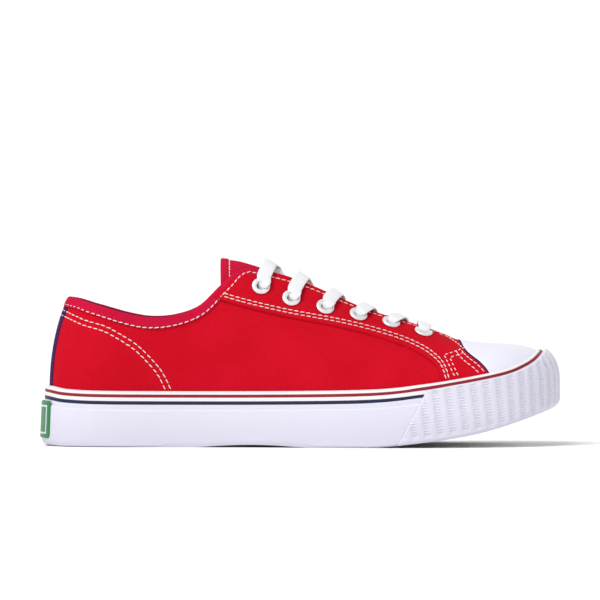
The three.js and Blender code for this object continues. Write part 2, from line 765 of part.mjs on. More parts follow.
// Tongue under the throat: follows the crown, lower in the middle, its top standing above the collar
function makeTongue() {
  const rows = 8;
  const columns = 6;
  const outer = [];
  const inner = [];
  for (let r = 0; r <= rows; r += 1) {
    const x = mix(TONGUE_BACK, TONGUE_FRONT, r / rows) * LENGTH;
    const half = TONGUE_HALF * mix(1, TONGUE_TAPER, r / rows);
    const pressed = smooth(x / LENGTH, PRESS_START, PRESS_END);
    const room = mix(TONGUE_ROOM, 2 * GAP, pressed);
    const sag = TONGUE_SAG * (1 - pressed);
    const outerRow = [];
    const innerRow = [];
    for (let c = 0; c <= columns; c += 1) {
      const across = (2 * c) / columns - 1;
      const y = throatAxis * (r / rows) + across * half;
      const { point, normal } = spot(x, y);
      const sunk = new THREE.Vector3(0, 0, -sag * (1 - across * across) ** 2);
      const top = point.addScaledVector(normal, -UPPER_WALL - room).add(sunk);
      outerRow.push(top);
      innerRow.push(top.clone().addScaledVector(normal, -TONGUE_WALL));
    }
    outer.push(outerRow);
    inner.push(innerRow);
  }
  return sheetSolid(outer, inner);
}

// Flat ribbon along a path of spots, each with a lift above the last
function ribbon(path) {
  const outer = [];
  const inner = [];
  path.forEach(({ point, normal }, k) => {
    const before = path[Math.max(k - 1, 0)].point;
    const after = path[Math.min(k + 1, path.length - 1)].point;
    const run = after.clone().sub(before).normalize();
    const across = run.clone().cross(normal).normalize().multiplyScalar(LACE_WIDTH / 2);
    const up = across.clone().cross(run).normalize().multiplyScalar(LACE_WALL / 2);
    if (up.z < 0) up.negate();
    outer.push([point.clone().sub(across).add(up), point.clone().add(across).add(up)]);
    inner.push([point.clone().sub(across).sub(up), point.clone().add(across).sub(up)]);
  });
  return sheetSolid(outer, inner);
}

const laceSeat = flangeSeat + EYELET_FLANGE + LACE_ROOM + LACE_WALL / 2;

// One strand from above an eyelet on the near side to the far edge of the throat, or onto the far eyelet
function strand(near, far, dives) {
  const path = [];
  const steps = 8;
  const farSide = Math.sign(far.point.y);
  for (let k = 0; k <= steps; k += 1) {
    const t = k / steps;
    const x = mix(near.point.x, far.point.x, t);
    const y = mix(near.point.y, far.point.y, t);
    const half = throatHalf(x);
    if (dives && farSide * y > half + LACE_WIDTH / 2) break;
    const base = spot(x, y);
    const open = 1 - smooth(Math.abs(y), half * 0.6, half * 1.1);
    const beneath = -UPPER_WALL - 3 * GAP - LACE_WALL / 2;
    const down = dives ? smooth(farSide * y, -half, half - 0.7 * LACE_WIDTH) : 0;
    const bridge = dives ? 0 : LACE_SAG * open;
    const lift = mix(laceSeat, beneath, down) - bridge;
    path.push({ point: base.point.addScaledVector(base.normal, lift), normal: base.normal });
  }
  return ribbon(path);
}

function makeCrossing(k) {
  const first = strand(eyelets.lateral[k], eyelets.medial[k + 1], true);
  const second = strand(eyelets.medial[k], eyelets.lateral[k + 1], true);
  return first.add(second);
}

function makeBar() {
  return strand(eyelets.lateral[EYELETS - 1], eyelets.medial[EYELETS - 1], false);
}

// Flanged ring with a barrel down through the wall
function makeEyelet(where) {
  const depth = flangeSeat + UPPER_WALL + GAP / 2;
  const profile = [
    [EYELET_BORE, -depth],
    [EYELET_BARREL, -depth],
    [EYELET_BARREL, 0],
    [EYELET_RADIUS, 0],
    [EYELET_BORE, EYELET_FLANGE],
    [EYELET_BORE, -depth],
  ].map(([r, h]) => new THREE.Vector2(r, h));
  return solidOf(place(new THREE.LatheGeometry(profile, EYELET_SIDES), where, flangeSeat));
}

// Finishes
const finish = (color, roughness, metalness = 0) => ({ color, roughness, metalness });
const CANVAS = finish(0xde1428, 0.9);
const BINDING = finish(0xdc143c, 0.85);
const RUBBER = finish(0xf2f1f8, 0.55);
const GUM = finish(0xe8e4dc, 0.7);
const NAVY = finish(0x46235a, 0.85);
const GREEN = finish(0x2f7d4c, 0.5);
const LINING = finish(0xe9dfd2, 0.9);
const METAL = finish(0xe6e6ea, 0.3, 0.6);
const LACE = finish(0xfafafa, 0.85);

const shoe = new THREE.Group();

function addPiece(name, solid, look) {
  const mesh = solid.getMesh();
  const geometry = closedGeometry(Array.from(mesh.vertProperties), Array.from(mesh.triVerts));
  geometry.computeVertexNormals();
  const piece = new THREE.Mesh(geometry, new THREE.MeshStandardMaterial(look));
  piece.name = name;
  shoe.add(piece);
}

addPiece('outsole', makeOutsole(), GUM);
addPiece('foxing', makeFoxing(), RUBBER);
addPiece('toe_bumper', makeBumper(), RUBBER);
addPiece('heel_label', makeLabel(), GREEN);
addPiece('upper', makeUpper(), CANVAS);
addPiece('toe_cap', makeCap(), RUBBER);
addPiece('eyestay', makeEyestay(), CANVAS);
addPiece('back_stay', makeStay(), NAVY);
addPiece('collar_binding', makeBinding(), BINDING);
addPiece('tongue', makeTongue(), BINDING);
addPiece('insole', makeInsole(), LINING);
for (const side of ['lateral', 'medial']) {
  eyelets[side].forEach((where, k) => addPiece(`eyelet_${side}_${k + 1}`, makeEyelet(where), METAL));
}
for (let k = 0; k < EYELETS - 1; k += 1) addPiece(`lace_crossing_${k + 1}`, makeCrossing(k), LACE);
addPiece('lace_bar', makeBar(), LACE);

// The origin is the middle of the bounding box's bottom
const box = new THREE.Box3().setFromObject(shoe);
shoe.position.set(-(box.min.x + box.max.x) / 2, -(box.min.y + box.max.y) / 2, -box.min.z);
shoe.updateMatrixWorld(true);

export default shoe;
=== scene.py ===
"""Low canvas sneaker, right shoe: canvas, rubber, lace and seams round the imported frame.

Shapes are worked out in the shoe's own millimetres: x from heel to toe, +y medial, +z up.
A piece's points are moved and turned to metres only when its mesh is made.
"""

import math

import bpy
import numpy as np
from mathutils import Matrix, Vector


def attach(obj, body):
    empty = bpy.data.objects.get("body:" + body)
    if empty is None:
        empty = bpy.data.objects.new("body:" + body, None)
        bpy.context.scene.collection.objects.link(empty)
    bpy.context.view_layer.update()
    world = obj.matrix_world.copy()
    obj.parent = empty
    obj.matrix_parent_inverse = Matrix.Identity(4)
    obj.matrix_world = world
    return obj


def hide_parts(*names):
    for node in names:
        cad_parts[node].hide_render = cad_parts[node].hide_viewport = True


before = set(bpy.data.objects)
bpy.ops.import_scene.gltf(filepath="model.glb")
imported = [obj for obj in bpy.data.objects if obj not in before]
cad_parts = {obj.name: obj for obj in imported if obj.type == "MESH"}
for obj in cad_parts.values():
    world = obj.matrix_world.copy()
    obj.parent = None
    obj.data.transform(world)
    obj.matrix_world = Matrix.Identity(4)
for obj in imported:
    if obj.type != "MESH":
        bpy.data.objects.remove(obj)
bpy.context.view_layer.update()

MM = 0.001
TURN = 2 * math.pi

# Driving sizes of the shoe, in millimetres
LENGTH = 295.0
BALL_WIDTH = 106.0
HEEL_WIDTH = 75.0
HEEL_HEIGHT = 84.5
INSTEP_HEIGHT = 106.0
TOE_HEIGHT = 55.0
TOE_SWING = 4.0
TOE_SPRING = 20.0
ARCH_RISE = 1.1
FOXING_HEIGHT = 32.0
UPPER_WALL = 1.6
OVERLAY = 1.0
STAY_WALL = 0.6
CAP_WALL = 1.5
BINDING_WALL = 0.8
TAPE_WALL = 2.8
BAND_WALL = 3.6
BUMPER_WALL = 1.3
RIB_RISE = 0.8
LABEL_WALL = 0.9
OUTSOLE_HEEL = 11.0
OUTSOLE_FORE = 7.0
INSOLE_WALL = 5.0
TONGUE_WALL = 2.0
GAP = 0.3
STEP_DROP = 10.8
STRIPE_BAND = 3.2
BINDING_WIDTH = 6.4
STAY_WIDTH = 20.0
LABEL_WIDTH = 38.0
LABEL_HEIGHT = 21.0
LABEL_BASE = 4.5
LABEL_CORNER = 2.0
LABEL_LINE = (2.4, 3.4)
RIB_PITCH = 7.0
RIB_GROOVE = 3.2
RIB_LEAN = 0.13
TICK_PITCH = 1.6
TREAD_PITCH = 6.4
TREAD_ZIGZAG = 22.0
TREAD_LEAN = 5.5
TREAD_DEPTH = 1.2
TREAD_RIM = 5.0
THROAT_FRONT = 7.0
THROAT_BACK = 11.0
SOLE_FLARE = 1.2
EDGE_ROUND = 3.5
SPINE_SOFT = 20.0
SPINE_FRONT = 0.43
EYELET_RADIUS = 5.2
EYELET_INSET = 10.0
EYELET_BORE = 2.5
EYELET_BARREL = 3.1
EYELET_FLANGE = 0.8
SEAT_ROOM = 0.45
LACE_WIDTH = 8.0
LACE_WALL = 1.1
LACE_ROOM = 0.5
LACE_SAG = 1.5
TONGUE_HALF = 25.0
TONGUE_TAPER = 0.78
TONGUE_ROOM = 2.4
TONGUE_SAG = 1.5
TONGUE_BACK = 0.349
TONGUE_FRONT = 0.815
PRESS_START = 0.72
PRESS_END = 0.79
THROAT_START = 0.785
THROAT_END = 0.42
COLLAR_TUCK = 0.45
COLLAR_SEAM_FRONT = 4.0
EYESTAY_SEAMS = (2.5, 4.2)
CAP_SEAMS = (1.7, 4.4)
COUNTER_SEAM_PITCH = 2.9
THROAT_SEAM = 3.2
STITCH_PITCH = 3.4
STITCH_LONG = 2.7
STITCH_RADIUS = 0.3
STITCH_SIDES = 6
TOE_STITCH_PITCH = 2.9
TOE_STITCH_LONG = 2.2
CAP_SEAM_TOP = 53.5
SEAM_ROOM = 0.8

# Rows of the foxing's grid that belong to the whiter tape, counted from its top edge
TAPE_ROWS = 7

# Halvings in every search for a meeting point
HALVINGS = 36

# The last's middle line lies this far from the middle of the box across the shoe
AXIS_SHIFT = 0.641

HEEL_END = LABEL_WALL + GAP + BAND_WALL + GAP + SOLE_FLARE
TOE_END = LENGTH - TAPE_WALL - BUMPER_WALL - RIB_RISE - 2 * GAP
LAST_BALL = BALL_WIDTH - 2 * (BAND_WALL + GAP + SOLE_FLARE)
LAST_HEEL = HEEL_WIDTH - 2 * (BAND_WALL + GAP + SOLE_FLARE)
FLANGE_SEAT = GAP + OVERLAY + GAP + SEAT_ROOM
LACE_SEAT = FLANGE_SEAT + EYELET_FLANGE + LACE_ROOM + LACE_WALL / 2
TIP_SEAM = THROAT_FRONT + THROAT_SEAM

# Plan of the last: half widths as shares of the local width, which is the heel's (1) or the ball's (0)
PLAN = dict(
    at=(0, 0.04, 0.12, 0.2, 0.32, 0.45, 0.6, 0.7, 0.78, 0.86, 0.93, 0.975, 1),
    lateral=(0, 0.375, 0.492, 0.503, 0.476, 0.452, 0.478, 0.508, 0.506, 0.47, 0.385, 0.254, 0),
    medial=(0, 0.375, 0.492, 0.495, 0.444, 0.39, 0.427, 0.48, 0.483, 0.45, 0.368, 0.243, 0),
    heel=(1, 1, 1, 1, 0.8, 0.35, 0, 0, 0, 0, 0, 0, 0),
)

# Sections of the last: ridge from toe height (0) to instep height (1), side wall as a share of the
# instep height, and roundness of the crown
SECTIONS = dict(
    at=(0, 0.2, 0.35, 0.424, 0.483, 0.61, 0.673, 0.736, 0.81, 0.87, 1),
    ridge=(0.94, 1.0, 1.1, 1.0, 0.87, 0.492, 0.35, 0.225, 0.05, 0, 0.005),
    wall=(0.3, 0.31, 0.32, 0.32, 0.32, 0.315, 0.31, 0.31, 0.305, 0.305, 0.31),
    round=(2, 2, 1.75, 1.62, 1.6, 1.58, 1.6, 1.7, 2.2, 2.9, 3.5),
)

# Underside: rise above the floor as shares of the toe spring and of the arch rise
UNDERSIDE = dict(
    at=(0, 0.05, 0.3, 0.36, 0.46, 0.52, 0.64, 0.69, 0.77, 0.845, 0.92, 1),
    spring=(0, 0, 0, 0, 0, 0, 0, 0.07, 0.22, 0.43, 0.76, 1.15),
    arch=(1, 0, 0, 1, 1, 0, 0, 0, 0, 0, 0, 0),
)

# Lower edge of the rubber: rounding and flare as shares of the named ones
EDGE = dict(
    at=(0, 0.15, 0.7, 0.9, 1),
    tuck=(1, 0.46, 0.46, 1, 1.86),
    flare=(1, 1, 0.8, 0.1, 0),
)

# Lines seen from the side: station along the shoe and height as a share of the named height
COLLAR = dict(
    at=(-0.05, 0.053, 0.11, 0.165, 0.212, 0.26, 0.305, 0.342, 0.375, 0.405, 0.425, 0.43),
    heel=(1, 1, 0.949, 0.894, 0.865, 0.877, 0.467, 0, 0, 0, 0, 0),
    instep=(0, 0, 0, 0, 0, 0, 0.373, 0.843, 0.925, 0.949, 0.957, 1.196),
)
FOXING_TOP = dict(
    at=(-0.05, 0.02, 0.06, 0.15, 0.42, 0.63, 0.73, 0.807, 0.884, 0.922, 0.943, 0.957, 0.967),
    up=(1.085, 1.065, 1.01, 0.985, 0.985, 1.02, 1.106, 1.21, 1.353, 1.475, 1.58, 1.7, 1.9),
)
EYESTAY_EDGE = dict(
    at=(0.33, 0.388, 0.47, 0.58, 0.66, 0.71, 0.745, 0.765, 0.778),
    up=(0.79, 0.742, 0.687, 0.627, 0.568, 0.518, 0.462, 0.39, 0.2),
)
CAP_EDGE = dict(
    at=(0.79, 0.806, 0.818, 0.843, 0.859, 0.875),
    up=(1.3, 1.05, 0.95, 0.845, 0.735, 0.5),
)
BUMPER_EDGE = dict(at=(0.6635, 0.735, 0.765), up=(-0.3, 0.9, 1.6))
EYELET_ROW = dict(
    at=(0.425, 0.483, 0.547, 0.61, 0.673, 0.735),
    inset=(0.81, 1.1, 1.165, 0.98, 0.86, 1.095),
)

# Seams seen from the side, heights as shares of the heel height
COUNTER_SEAM = dict(
    at=(0.03, 0.047, 0.088, 0.128, 0.157, 0.189, 0.216, 0.238, 0.2555),
    up=(0.928, 0.905, 0.844, 0.802, 0.75, 0.678, 0.588, 0.494, 0.37),
)
# Boxed seam between eyestay and toe cap: outer leg, inner leg and top, each from one end to the other
STRIP_SEAM = dict(
    at=(0.774, 0.785, 0.774, 0.785),
    up=(0.925, 0.898, 0.925, 0.898),
    to_at=(0.798, 0.805, 0.815, 0.8135),
    to_up=(0.67, 0.67, 0.995, 0.952),
)
# Seam that runs on from the throat to the toe cap: where it ends at the cap, seen from the side
VAMP_SEAM = dict(at=0.809, up=0.995)
# Distance of the collar's seam below its edge, as a share of the binding's width
COLLAR_SEAM = dict(
    at=(0, 0.1, 0.2, 0.3, 0.36, 0.39, 0.42),
    drop=(0.66, 0.88, 1.0, 0.85, 0.8, 0.5, 0.36),
)

# Soft folds of the canvas: place and height as shares of length and instep height, lean of the fold
# in degrees, half length, half width and depth in millimetres (below zero for a ridge)
FOLDS = dict(
    at=(0.30, 0.40, 0.52, 0.60, 0.665, 0.70, 0.50, 0.22, 0.13, 0.74),
    up=(0.60, 0.52, 0.46, 0.42, 0.44, 0.36, 0.60, 0.56, 0.42, 0.42),
    lean=(62, 40, 30, 24, 48, 60, -14, 78, 84, 70),
    long=(22, 26, 24, 20, 14, 10, 30, 18, 20, 9),
    wide=(9, 8, 7, 6, 5, 4, 6, 9, 10, 4),
    deep=(0.5, 0.45, 0.5, 0.45, 0.4, 0.35, -0.4, 0.35, -0.3, 0.35),
)


def smooth(value, low, high):
    """Eased step from 0 at low to 1 at high: 3t^2 - 2t^3."""
    t = np.clip((np.asarray(value, float) - low) / (high - low), 0, 1)
    return t * t * (3 - 2 * t)


def mix(a, b, share):
    """Straight blend from a to b."""
    return a + (b - a) * share


def natural(x, y):
    """Natural cubic spline through the points (x, y), as a function of x."""
    x, y = np.asarray(x, float), np.asarray(y, float)
    h = np.diff(x)
    system = np.eye(len(x))
    jump = np.zeros(len(x))
    for i in range(1, len(x) - 1):
        system[i, i - 1:i + 2] = h[i - 1] / 6, (h[i - 1] + h[i]) / 3, h[i] / 6
        jump[i] = (y[i + 1] - y[i]) / h[i] - (y[i] - y[i - 1]) / h[i - 1]
    bend = np.linalg.solve(system, jump)

    def value(v):
        v = np.clip(v, x[0], x[-1])
        i = np.clip(np.searchsorted(x, v, side="right") - 1, 0, len(x) - 2)
        a = (x[i + 1] - v) / h[i]
        b = 1 - a
        cubic = (a ** 3 - a) * bend[i] + (b ** 3 - b) * bend[i + 1]
        return a * y[i] + b * y[i + 1] + cubic * h[i] ** 2 / 6

    return value


plan_s = np.arccos(1 - 2 * np.array(PLAN["at"])) / math.pi
lateral_share = natural(plan_s, PLAN["lateral"])
medial_share = natural(plan_s, PLAN["medial"])
heel_share = natural(plan_s, PLAN["heel"])
ridge_share = natural(SECTIONS["at"], SECTIONS["ridge"])
wall_share = natural(SECTIONS["at"], SECTIONS["wall"])
round_share = natural(SECTIONS["at"], SECTIONS["round"])
spring_share = natural(UNDERSIDE["at"], UNDERSIDE["spring"])
arch_share = natural(UNDERSIDE["at"], UNDERSIDE["arch"])
tuck_share = natural(EDGE["at"], EDGE["tuck"])
flare_share = natural(EDGE["at"], EDGE["flare"])


def station_x(s):
    """x of a station: a half cosine from the heel end (0) to the toe end (1)."""
    return HEEL_END + (TOE_END - HEEL_END) * (1 - np.cos(math.pi * s)) / 2


def axis_y(s):
    """Sideways place of the last's middle line, which swings medially towards the toe."""
    return TOE_SWING * smooth(s, 0.55, 1)


def fold(s, side):
    """Stations past either end come back on the other side."""
    beyond = (s < 0) | (s > 1)
    return np.where(s < 0, -s, np.where(s > 1, 2 - s, s)), np.where(beyond, -side, side)


def outline(s, side):
    """Plan outline: axis plus or minus a half width, which is a share of the local width."""
    s, side = fold(*np.broadcast_arrays(np.asarray(s, float), np.asarray(side, float)))
    width = mix(LAST_BALL, LAST_HEEL, np.clip(heel_share(s), 0, 1))
    half = np.where(side < 0, lateral_share(s), medial_share(s)) * width
    return station_x(s), axis_y(s) + side * half


def outward(s, side):
    """Unit normal of the outline in plan, from a central difference."""
    step = 0.004
    ax, ay = outline(s - step, side)
    bx, by = outline(s + step, side)
    nx, ny = -side * (by - ay), side * (bx - ax)
    size = np.hypot(nx, ny)
    return nx / size, ny / size


def underside(x):
    """Rise of the sole above the floor: flat at heel and ball, a low arch, and the toe's spring."""
    share = np.asarray(x, float) / LENGTH
    spring = np.where(share > 0.64, np.maximum(spring_share(share), 0), 0)
    in_arch = ((share > 0.3) & (share < 0.52)) | (share < 0.05)
    arch = np.where(in_arch, np.maximum(arch_share(share), 0), 0)
    return TOE_SPRING * spring + ARCH_RISE * arch


def spine(s):
    """Middle line of the last: x of the station, softly held back from both ends."""
    x = station_x(s)
    rear = HEEL_END + LAST_HEEL / 2
    front = TOE_END - LAST_BALL * SPINE_FRONT
    lifted = (x + rear + np.hypot(x - rear, SPINE_SOFT)) / 2
    held = (lifted + front - np.hypot(lifted - front, SPINE_SOFT)) / 2
    return held, axis_y(s)


def crown(s, side, turn):
    """Section above the side wall: a superellipse quarter from the wall (0) to the ridge (1)."""
    s, side, turn = np.broadcast_arrays(*(np.asarray(v, float) for v in (s, side, turn)))
    s, side = fold(s, side)
    side = np.where(turn > 1, -side, side)
    turn = np.clip(np.where(turn > 1, 2 - turn, turn), 0, 1)
    fx, fy = outline(s, side)
    sx, sy = spine(s)
    wall = INSTEP_HEIGHT * wall_share(fx / LENGTH)
    ridge = mix(TOE_HEIGHT, INSTEP_HEIGHT, ridge_share(sx / LENGTH))
    power = 2 / round_share(fx / LENGTH)
    reach = np.maximum(np.cos(turn * math.pi / 2), 0) ** power
    rise = np.sin(turn * math.pi / 2) ** power
    reach = np.where(turn >= 1, 0, reach)
    return np.stack([mix(sx, fx, reach), mix(sy, fy, reach), mix(wall, ridge, rise)], -1)


def unit(v):
    """Vectors brought to length 1; a vanishing one becomes straight up."""
    size = np.linalg.norm(v, axis=-1, keepdims=True)
    return np.where(size < 1e-9, np.array([0.0, 0.0, 1.0]), v / np.maximum(size, 1e-9))


def crown_normal(s, side, turn):
    """Outward normal of the crown: cross product of its two central differences."""
    along = crown(s + 0.006, side, turn) - crown(s - 0.006, side, turn)
    up = crown(s, side, turn + 0.012) - crown(s, side, np.maximum(turn - 0.012, 0))
    return unit(np.cross(along, up) * -np.asarray(side, float)[..., None])


def skin(s, side, t, tucked=True):
    """Side of the last and its normal: t 0 to 1 rounds the lower edge by a quarter turn, 1 to 2 climbs
    the straight wall, 2 to 3 is the crown."""
    s, side, t = np.broadcast_arrays(*(np.asarray(v, float) for v in (s, side, t)))
    x, y = outline(s, side)
    ax, ay = outward(s, side)
    tuck = EDGE_ROUND * tuck_share(x / LENGTH)
    angle = np.clip(t, 0, 1) * math.pi / 2
    inward = (tuck * (1 - np.sin(angle)) if tucked else 0) - SOLE_FLARE * flare_share(x / LENGTH)
    low = np.stack([x - ax * inward, y - ay * inward, underside(x) + tuck * (1 - np.cos(angle))], -1)
    high = crown(s, side, np.clip(t - 2, 0, 1))
    climb = np.clip(t - 1, 0, 1)[..., None]
    level = np.stack([ax, ay, np.zeros_like(ax)], -1)
    normal = np.where((t > 2)[..., None], crown_normal(s, side, np.clip(t - 2, 0, 1)), level)
    return mix(low, high, climb), normal


def catmull(rows, before, after, u):
    """Catmull-Rom curve through rows of values, with a row added at each end, read at places u."""
    padded = np.vstack([before, rows, after])
    i = np.minimum(u.astype(int), len(rows) - 2)
    w = (u - i)[:, None]
    p0, p1, p2, p3 = (padded[i + k] for k in range(4))
    v0, v1 = (p2 - p0) / 2, (p3 - p1) / 2
    cubed = 2 * p1 - 2 * p2 + v0 + v1
    squared = 3 * p2 - 3 * p1 - 2 * v0 - v1
    return cubed * w ** 3 + squared * w ** 2 + v0 * w + p1


def through(table, height):
    """Smooth line through a side-view table, 24 steps a row."""
    rows = np.column_stack([np.array(table["at"]) * LENGTH, height])
    u = np.linspace(0, len(rows) - 1, 24 * (len(rows) - 1) + 1)
    return catmull(rows, rows[:1], rows[-1:], u)


collar_line = through(
    COLLAR, np.array(COLLAR["heel"]) * HEEL_HEIGHT + np.array(COLLAR["instep"]) * INSTEP_HEIGHT)
foxing_line = through(FOXING_TOP, np.array(FOXING_TOP["up"]) * FOXING_HEIGHT)
eyestay_line = through(EYESTAY_EDGE, np.array(EYESTAY_EDGE["up"]) * INSTEP_HEIGHT)
cap_line = through(CAP_EDGE, np.array(CAP_EDGE["up"]) * TOE_HEIGHT)
bumper_line = through(BUMPER_EDGE, np.array(BUMPER_EDGE["up"]) * FOXING_HEIGHT)
counter_line = through(COUNTER_SEAM, np.array(COUNTER_SEAM["up"]) * HEEL_HEIGHT)


def unit2(v):
    """Plane vectors brought to length 1."""
    return v / np.maximum(np.linalg.norm(v, axis=-1, keepdims=True), 1e-9)


def shifted(line, distance):
    """A plane line moved to its right by a distance, one for all or one a point."""
    run = unit2(np.gradient(line, axis=0))
    return line + np.column_stack([run[:, 1], -run[:, 0]]) * np.reshape(distance, (-1, 1))


def beside(a, b, line):
    """Signed distance of plane points (a, b) from a line, positive on its left."""
    best = np.full(a.shape, 1e9)
    sign = np.ones(a.shape)
    start, run = line[:-1], np.diff(line, axis=0)
    for (px, py), (rx, ry) in zip(start, run):
        size = rx * rx + ry * ry
        if size < 1e-12:
            continue
        t = np.clip(((a - px) * rx + (b - py) * ry) / size, 0, 1)
        dx, dy = a - px - t * rx, b - py - t * ry
        gap = np.hypot(dx, dy)
        near = gap < best
        best = np.where(near, gap, best)
        sign = np.where(near, np.sign(rx * (b - py) - ry * (a - px)), sign)
    return best * np.where(sign == 0, 1, sign)


def extended(line, start, end):
    """The line with straight runs added at both ends."""
    a, b = unit2(line[0] - line[1]), unit2(line[-1] - line[-2])
    return np.vstack([line[:1] + a * start, line, line[-1:] + b * end])


collar_wide = extended(collar_line, 60, 200)
foxing_wide = extended(foxing_line, 60, 300)
cap_wide = extended(cap_line, 300, 300)
bumper_wide = extended(bumper_line, 100, 100)
eyestay_wide = extended(eyestay_line, 300, 300)

throat_axis = float(axis_y(0.7))
throat_tip = THROAT_START * LENGTH - THROAT_FRONT
throat_mouth = THROAT_END * LENGTH


def throat_half(x):
    """Half width of the throat, wider at the collar than at the toe end."""
    return mix(THROAT_BACK, THROAT_FRONT, smooth(x / LENGTH, THROAT_END, THROAT_START))


def throat_middle(x):
    """Sideways place of the throat's middle."""
    return throat_axis * np.clip((x - throat_mouth) / (throat_tip - throat_mouth), 0, 1)


def from_throat(p):
    """Distance outside the throat in plan: a slot with a round front end."""
    x, y = p[:, 0], p[:, 1]
    beside_slot = np.abs(y - throat_middle(x)) - throat_half(x)
    past_tip = np.hypot(x - throat_tip, y - throat_axis) - THROAT_FRONT
    return np.where(x > throat_tip, past_tip, beside_slot)


def below_collar(p):
    """Distance below the collar line, seen from the side."""
    return -beside(p[:, 0], p[:, 2], collar_wide)


def above_foxing(p):
    """Distance above the top edge of the foxing, seen from the side."""
    return beside(p[:, 0], p[:, 2], foxing_wide)


def behind_cap(p):
    """Distance behind the rear edge of the toe cap, seen from the side."""
    return -beside(p[:, 0], p[:, 2], cap_wide)


def inside_eyestay(p):
    """Distance above or ahead of the eyestay's lower edge, seen from the side."""
    return beside(p[:, 0], p[:, 2], eyestay_wide)


def behind_bumper(p):
    """Distance behind the slanted edge of the bumper, seen from the side."""
    return beside(p[:, 0], p[:, 2], bumper_wide)


def meeting(low, high, short):
    """Where a test changes from true to false between low and high, found by halving."""
    for _ in range(HALVINGS):
        middle = (low + high) / 2
        falls_short = short(middle)
        low, high = np.where(falls_short, middle, low), np.where(falls_short, high, middle)
    return (low + high) / 2


def ahead_of_bumper_edge(p):
    """Distance ahead of the slanted edge of the bumper, seen from the side."""
    return -behind_bumper(p)


def ahead_of_cap_edge(p):
    """Distance ahead of the rear edge of the toe cap, seen from the side."""
    return -behind_cap(p)


def spot(x, y):
    """Point of the crown above a place in plan, and its normal; the station is found by halving."""
    x, y = np.broadcast_arrays(np.asarray(x, float), np.asarray(y, float))
    side = np.where(y < np.interp(x, *spine(np.linspace(0, 1, 400))), -1.0, 1.0)

    def reach_at(s):
        fx, fy = outline(s, side)
        sx, sy = spine(s)
        return sx, fx, np.clip((y - sy) / (fy - sy), 0, 1)

    def behind(s):
        return mix(*reach_at(s)) < x

    s = meeting(np.zeros(x.shape), np.ones(x.shape), behind)
    power = 2 / round_share(station_x(s) / LENGTH)
    turn = np.arccos(np.clip(reach_at(s)[2] ** (1 / power), 0, 1)) * 2 / math.pi
    return crown(s, side, turn), crown_normal(s, side, turn)


def on_side(x, z, side):
    """Point of the skin seen at (x, z) from one side, and its normal; found by halving the station."""
    x, z = np.broadcast_arrays(np.asarray(x, float), np.asarray(z, float))
    side = np.full(x.shape, float(side))

    def climb(s):
        fx, _ = outline(s, side)
        sx, _ = spine(s)
        wall = INSTEP_HEIGHT * wall_share(fx / LENGTH)
        ridge = mix(TOE_HEIGHT, INSTEP_HEIGHT, ridge_share(sx / LENGTH))
        rise = np.clip((z - wall) / (ridge - wall), 0, 1)
        turn = np.arcsin(np.clip(rise ** (round_share(fx / LENGTH) / 2), 0, 1)) * 2 / math.pi
        base = underside(fx) + EDGE_ROUND * tuck_share(fx / LENGTH)
        return np.where(z < wall, 1 + np.clip((z - base) / (wall - base), 0, 1), 2 + turn)

    def behind(s):
        return skin(s, side, climb(s))[0][..., 0] < x

    s = meeting(np.zeros(x.shape), np.ones(x.shape), behind)
    return skin(s, side, climb(s))


# Meshes


def finish_mesh(name, points, quads=None, tris=None, uv=None, looks=(), look_of=None, angle=50):
    """Points in shoe millimetres and arrays of faces made into an object at the origin, in metres."""
    loops, starts, start = [], [], 0
    for faces in (quads, tris):
        if faces is None or not len(faces):
            continue
        faces = np.asarray(faces, np.int32)
        loops.append(faces.ravel())
        starts.append(start + np.arange(len(faces), dtype=np.int32) * faces.shape[1])
        start += faces.size
    loops, starts = np.concatenate(loops), np.concatenate(starts)
    mesh = bpy.data.meshes.new(name)
    mesh.vertices.add(len(points))
    placed = (np.asarray(points) + np.array([-LENGTH / 2, AXIS_SHIFT, 0])) * MM
    mesh.vertices.foreach_set("co", placed.astype(np.float32).ravel())
    mesh.loops.add(len(loops))
    mesh.loops.foreach_set("vertex_index", loops)
    mesh.polygons.add(len(starts))
    mesh.polygons.foreach_set("loop_start", starts)
    mesh.update(calc_edges=True)
    if uv is not None:
        layer = mesh.uv_layers.new(name="cloth")
        corners = uv[loops] if len(uv) == len(points) else uv
        layer.uv.foreach_set("vector", (corners * MM).astype(np.float32).ravel())
    for look in looks:
        mesh.materials.append(look)
    if look_of is not None:
        mesh.polygons.foreach_set("material_index", np.asarray(look_of, np.int32))
    mesh.validate(clean_customdata=False)
    mesh.shade_smooth()
    mesh.set_sharp_from_angle(angle=math.radians(angle))
    made = bpy.data.objects.new(name, mesh)
    bpy.context.scene.collection.objects.link(made)
    return made


def settle(piece, slot, *nodes):
    """The piece rides the shoe's one body and stands for its nodes; the slot is not used."""
    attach(piece, "root")
    if nodes:
        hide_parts(*nodes)
    return piece


def grid_faces(rows, columns, wrap_rows=False, wrap_columns=False):
    """Quads of a grid of points stored row by row, closed round either way if asked."""
    r = np.arange(rows if wrap_rows else rows - 1)
    c = np.arange(columns if wrap_columns else columns - 1)
    r, c = np.meshgrid(r, c, indexing="ij")
    r2, c2 = (r + 1) % rows, (c + 1) % columns
    quads = np.stack([r * columns + c, r * columns + c2, r2 * columns + c2, r2 * columns + c], -1)
    return quads.reshape(-1, 4)


def halved(quads):
    """Two triangles for each quad."""
    return np.vstack([quads[:, [0, 1, 2]], quads[:, [0, 2, 3]]])


def side_by_side(point, normal, *values):
    """Data of a grid: its points and normals, then one column a value."""
    columns = [np.broadcast_to(value, point.shape[:2])[..., None] for value in values]
    return np.concatenate([point, normal] + columns, 2)


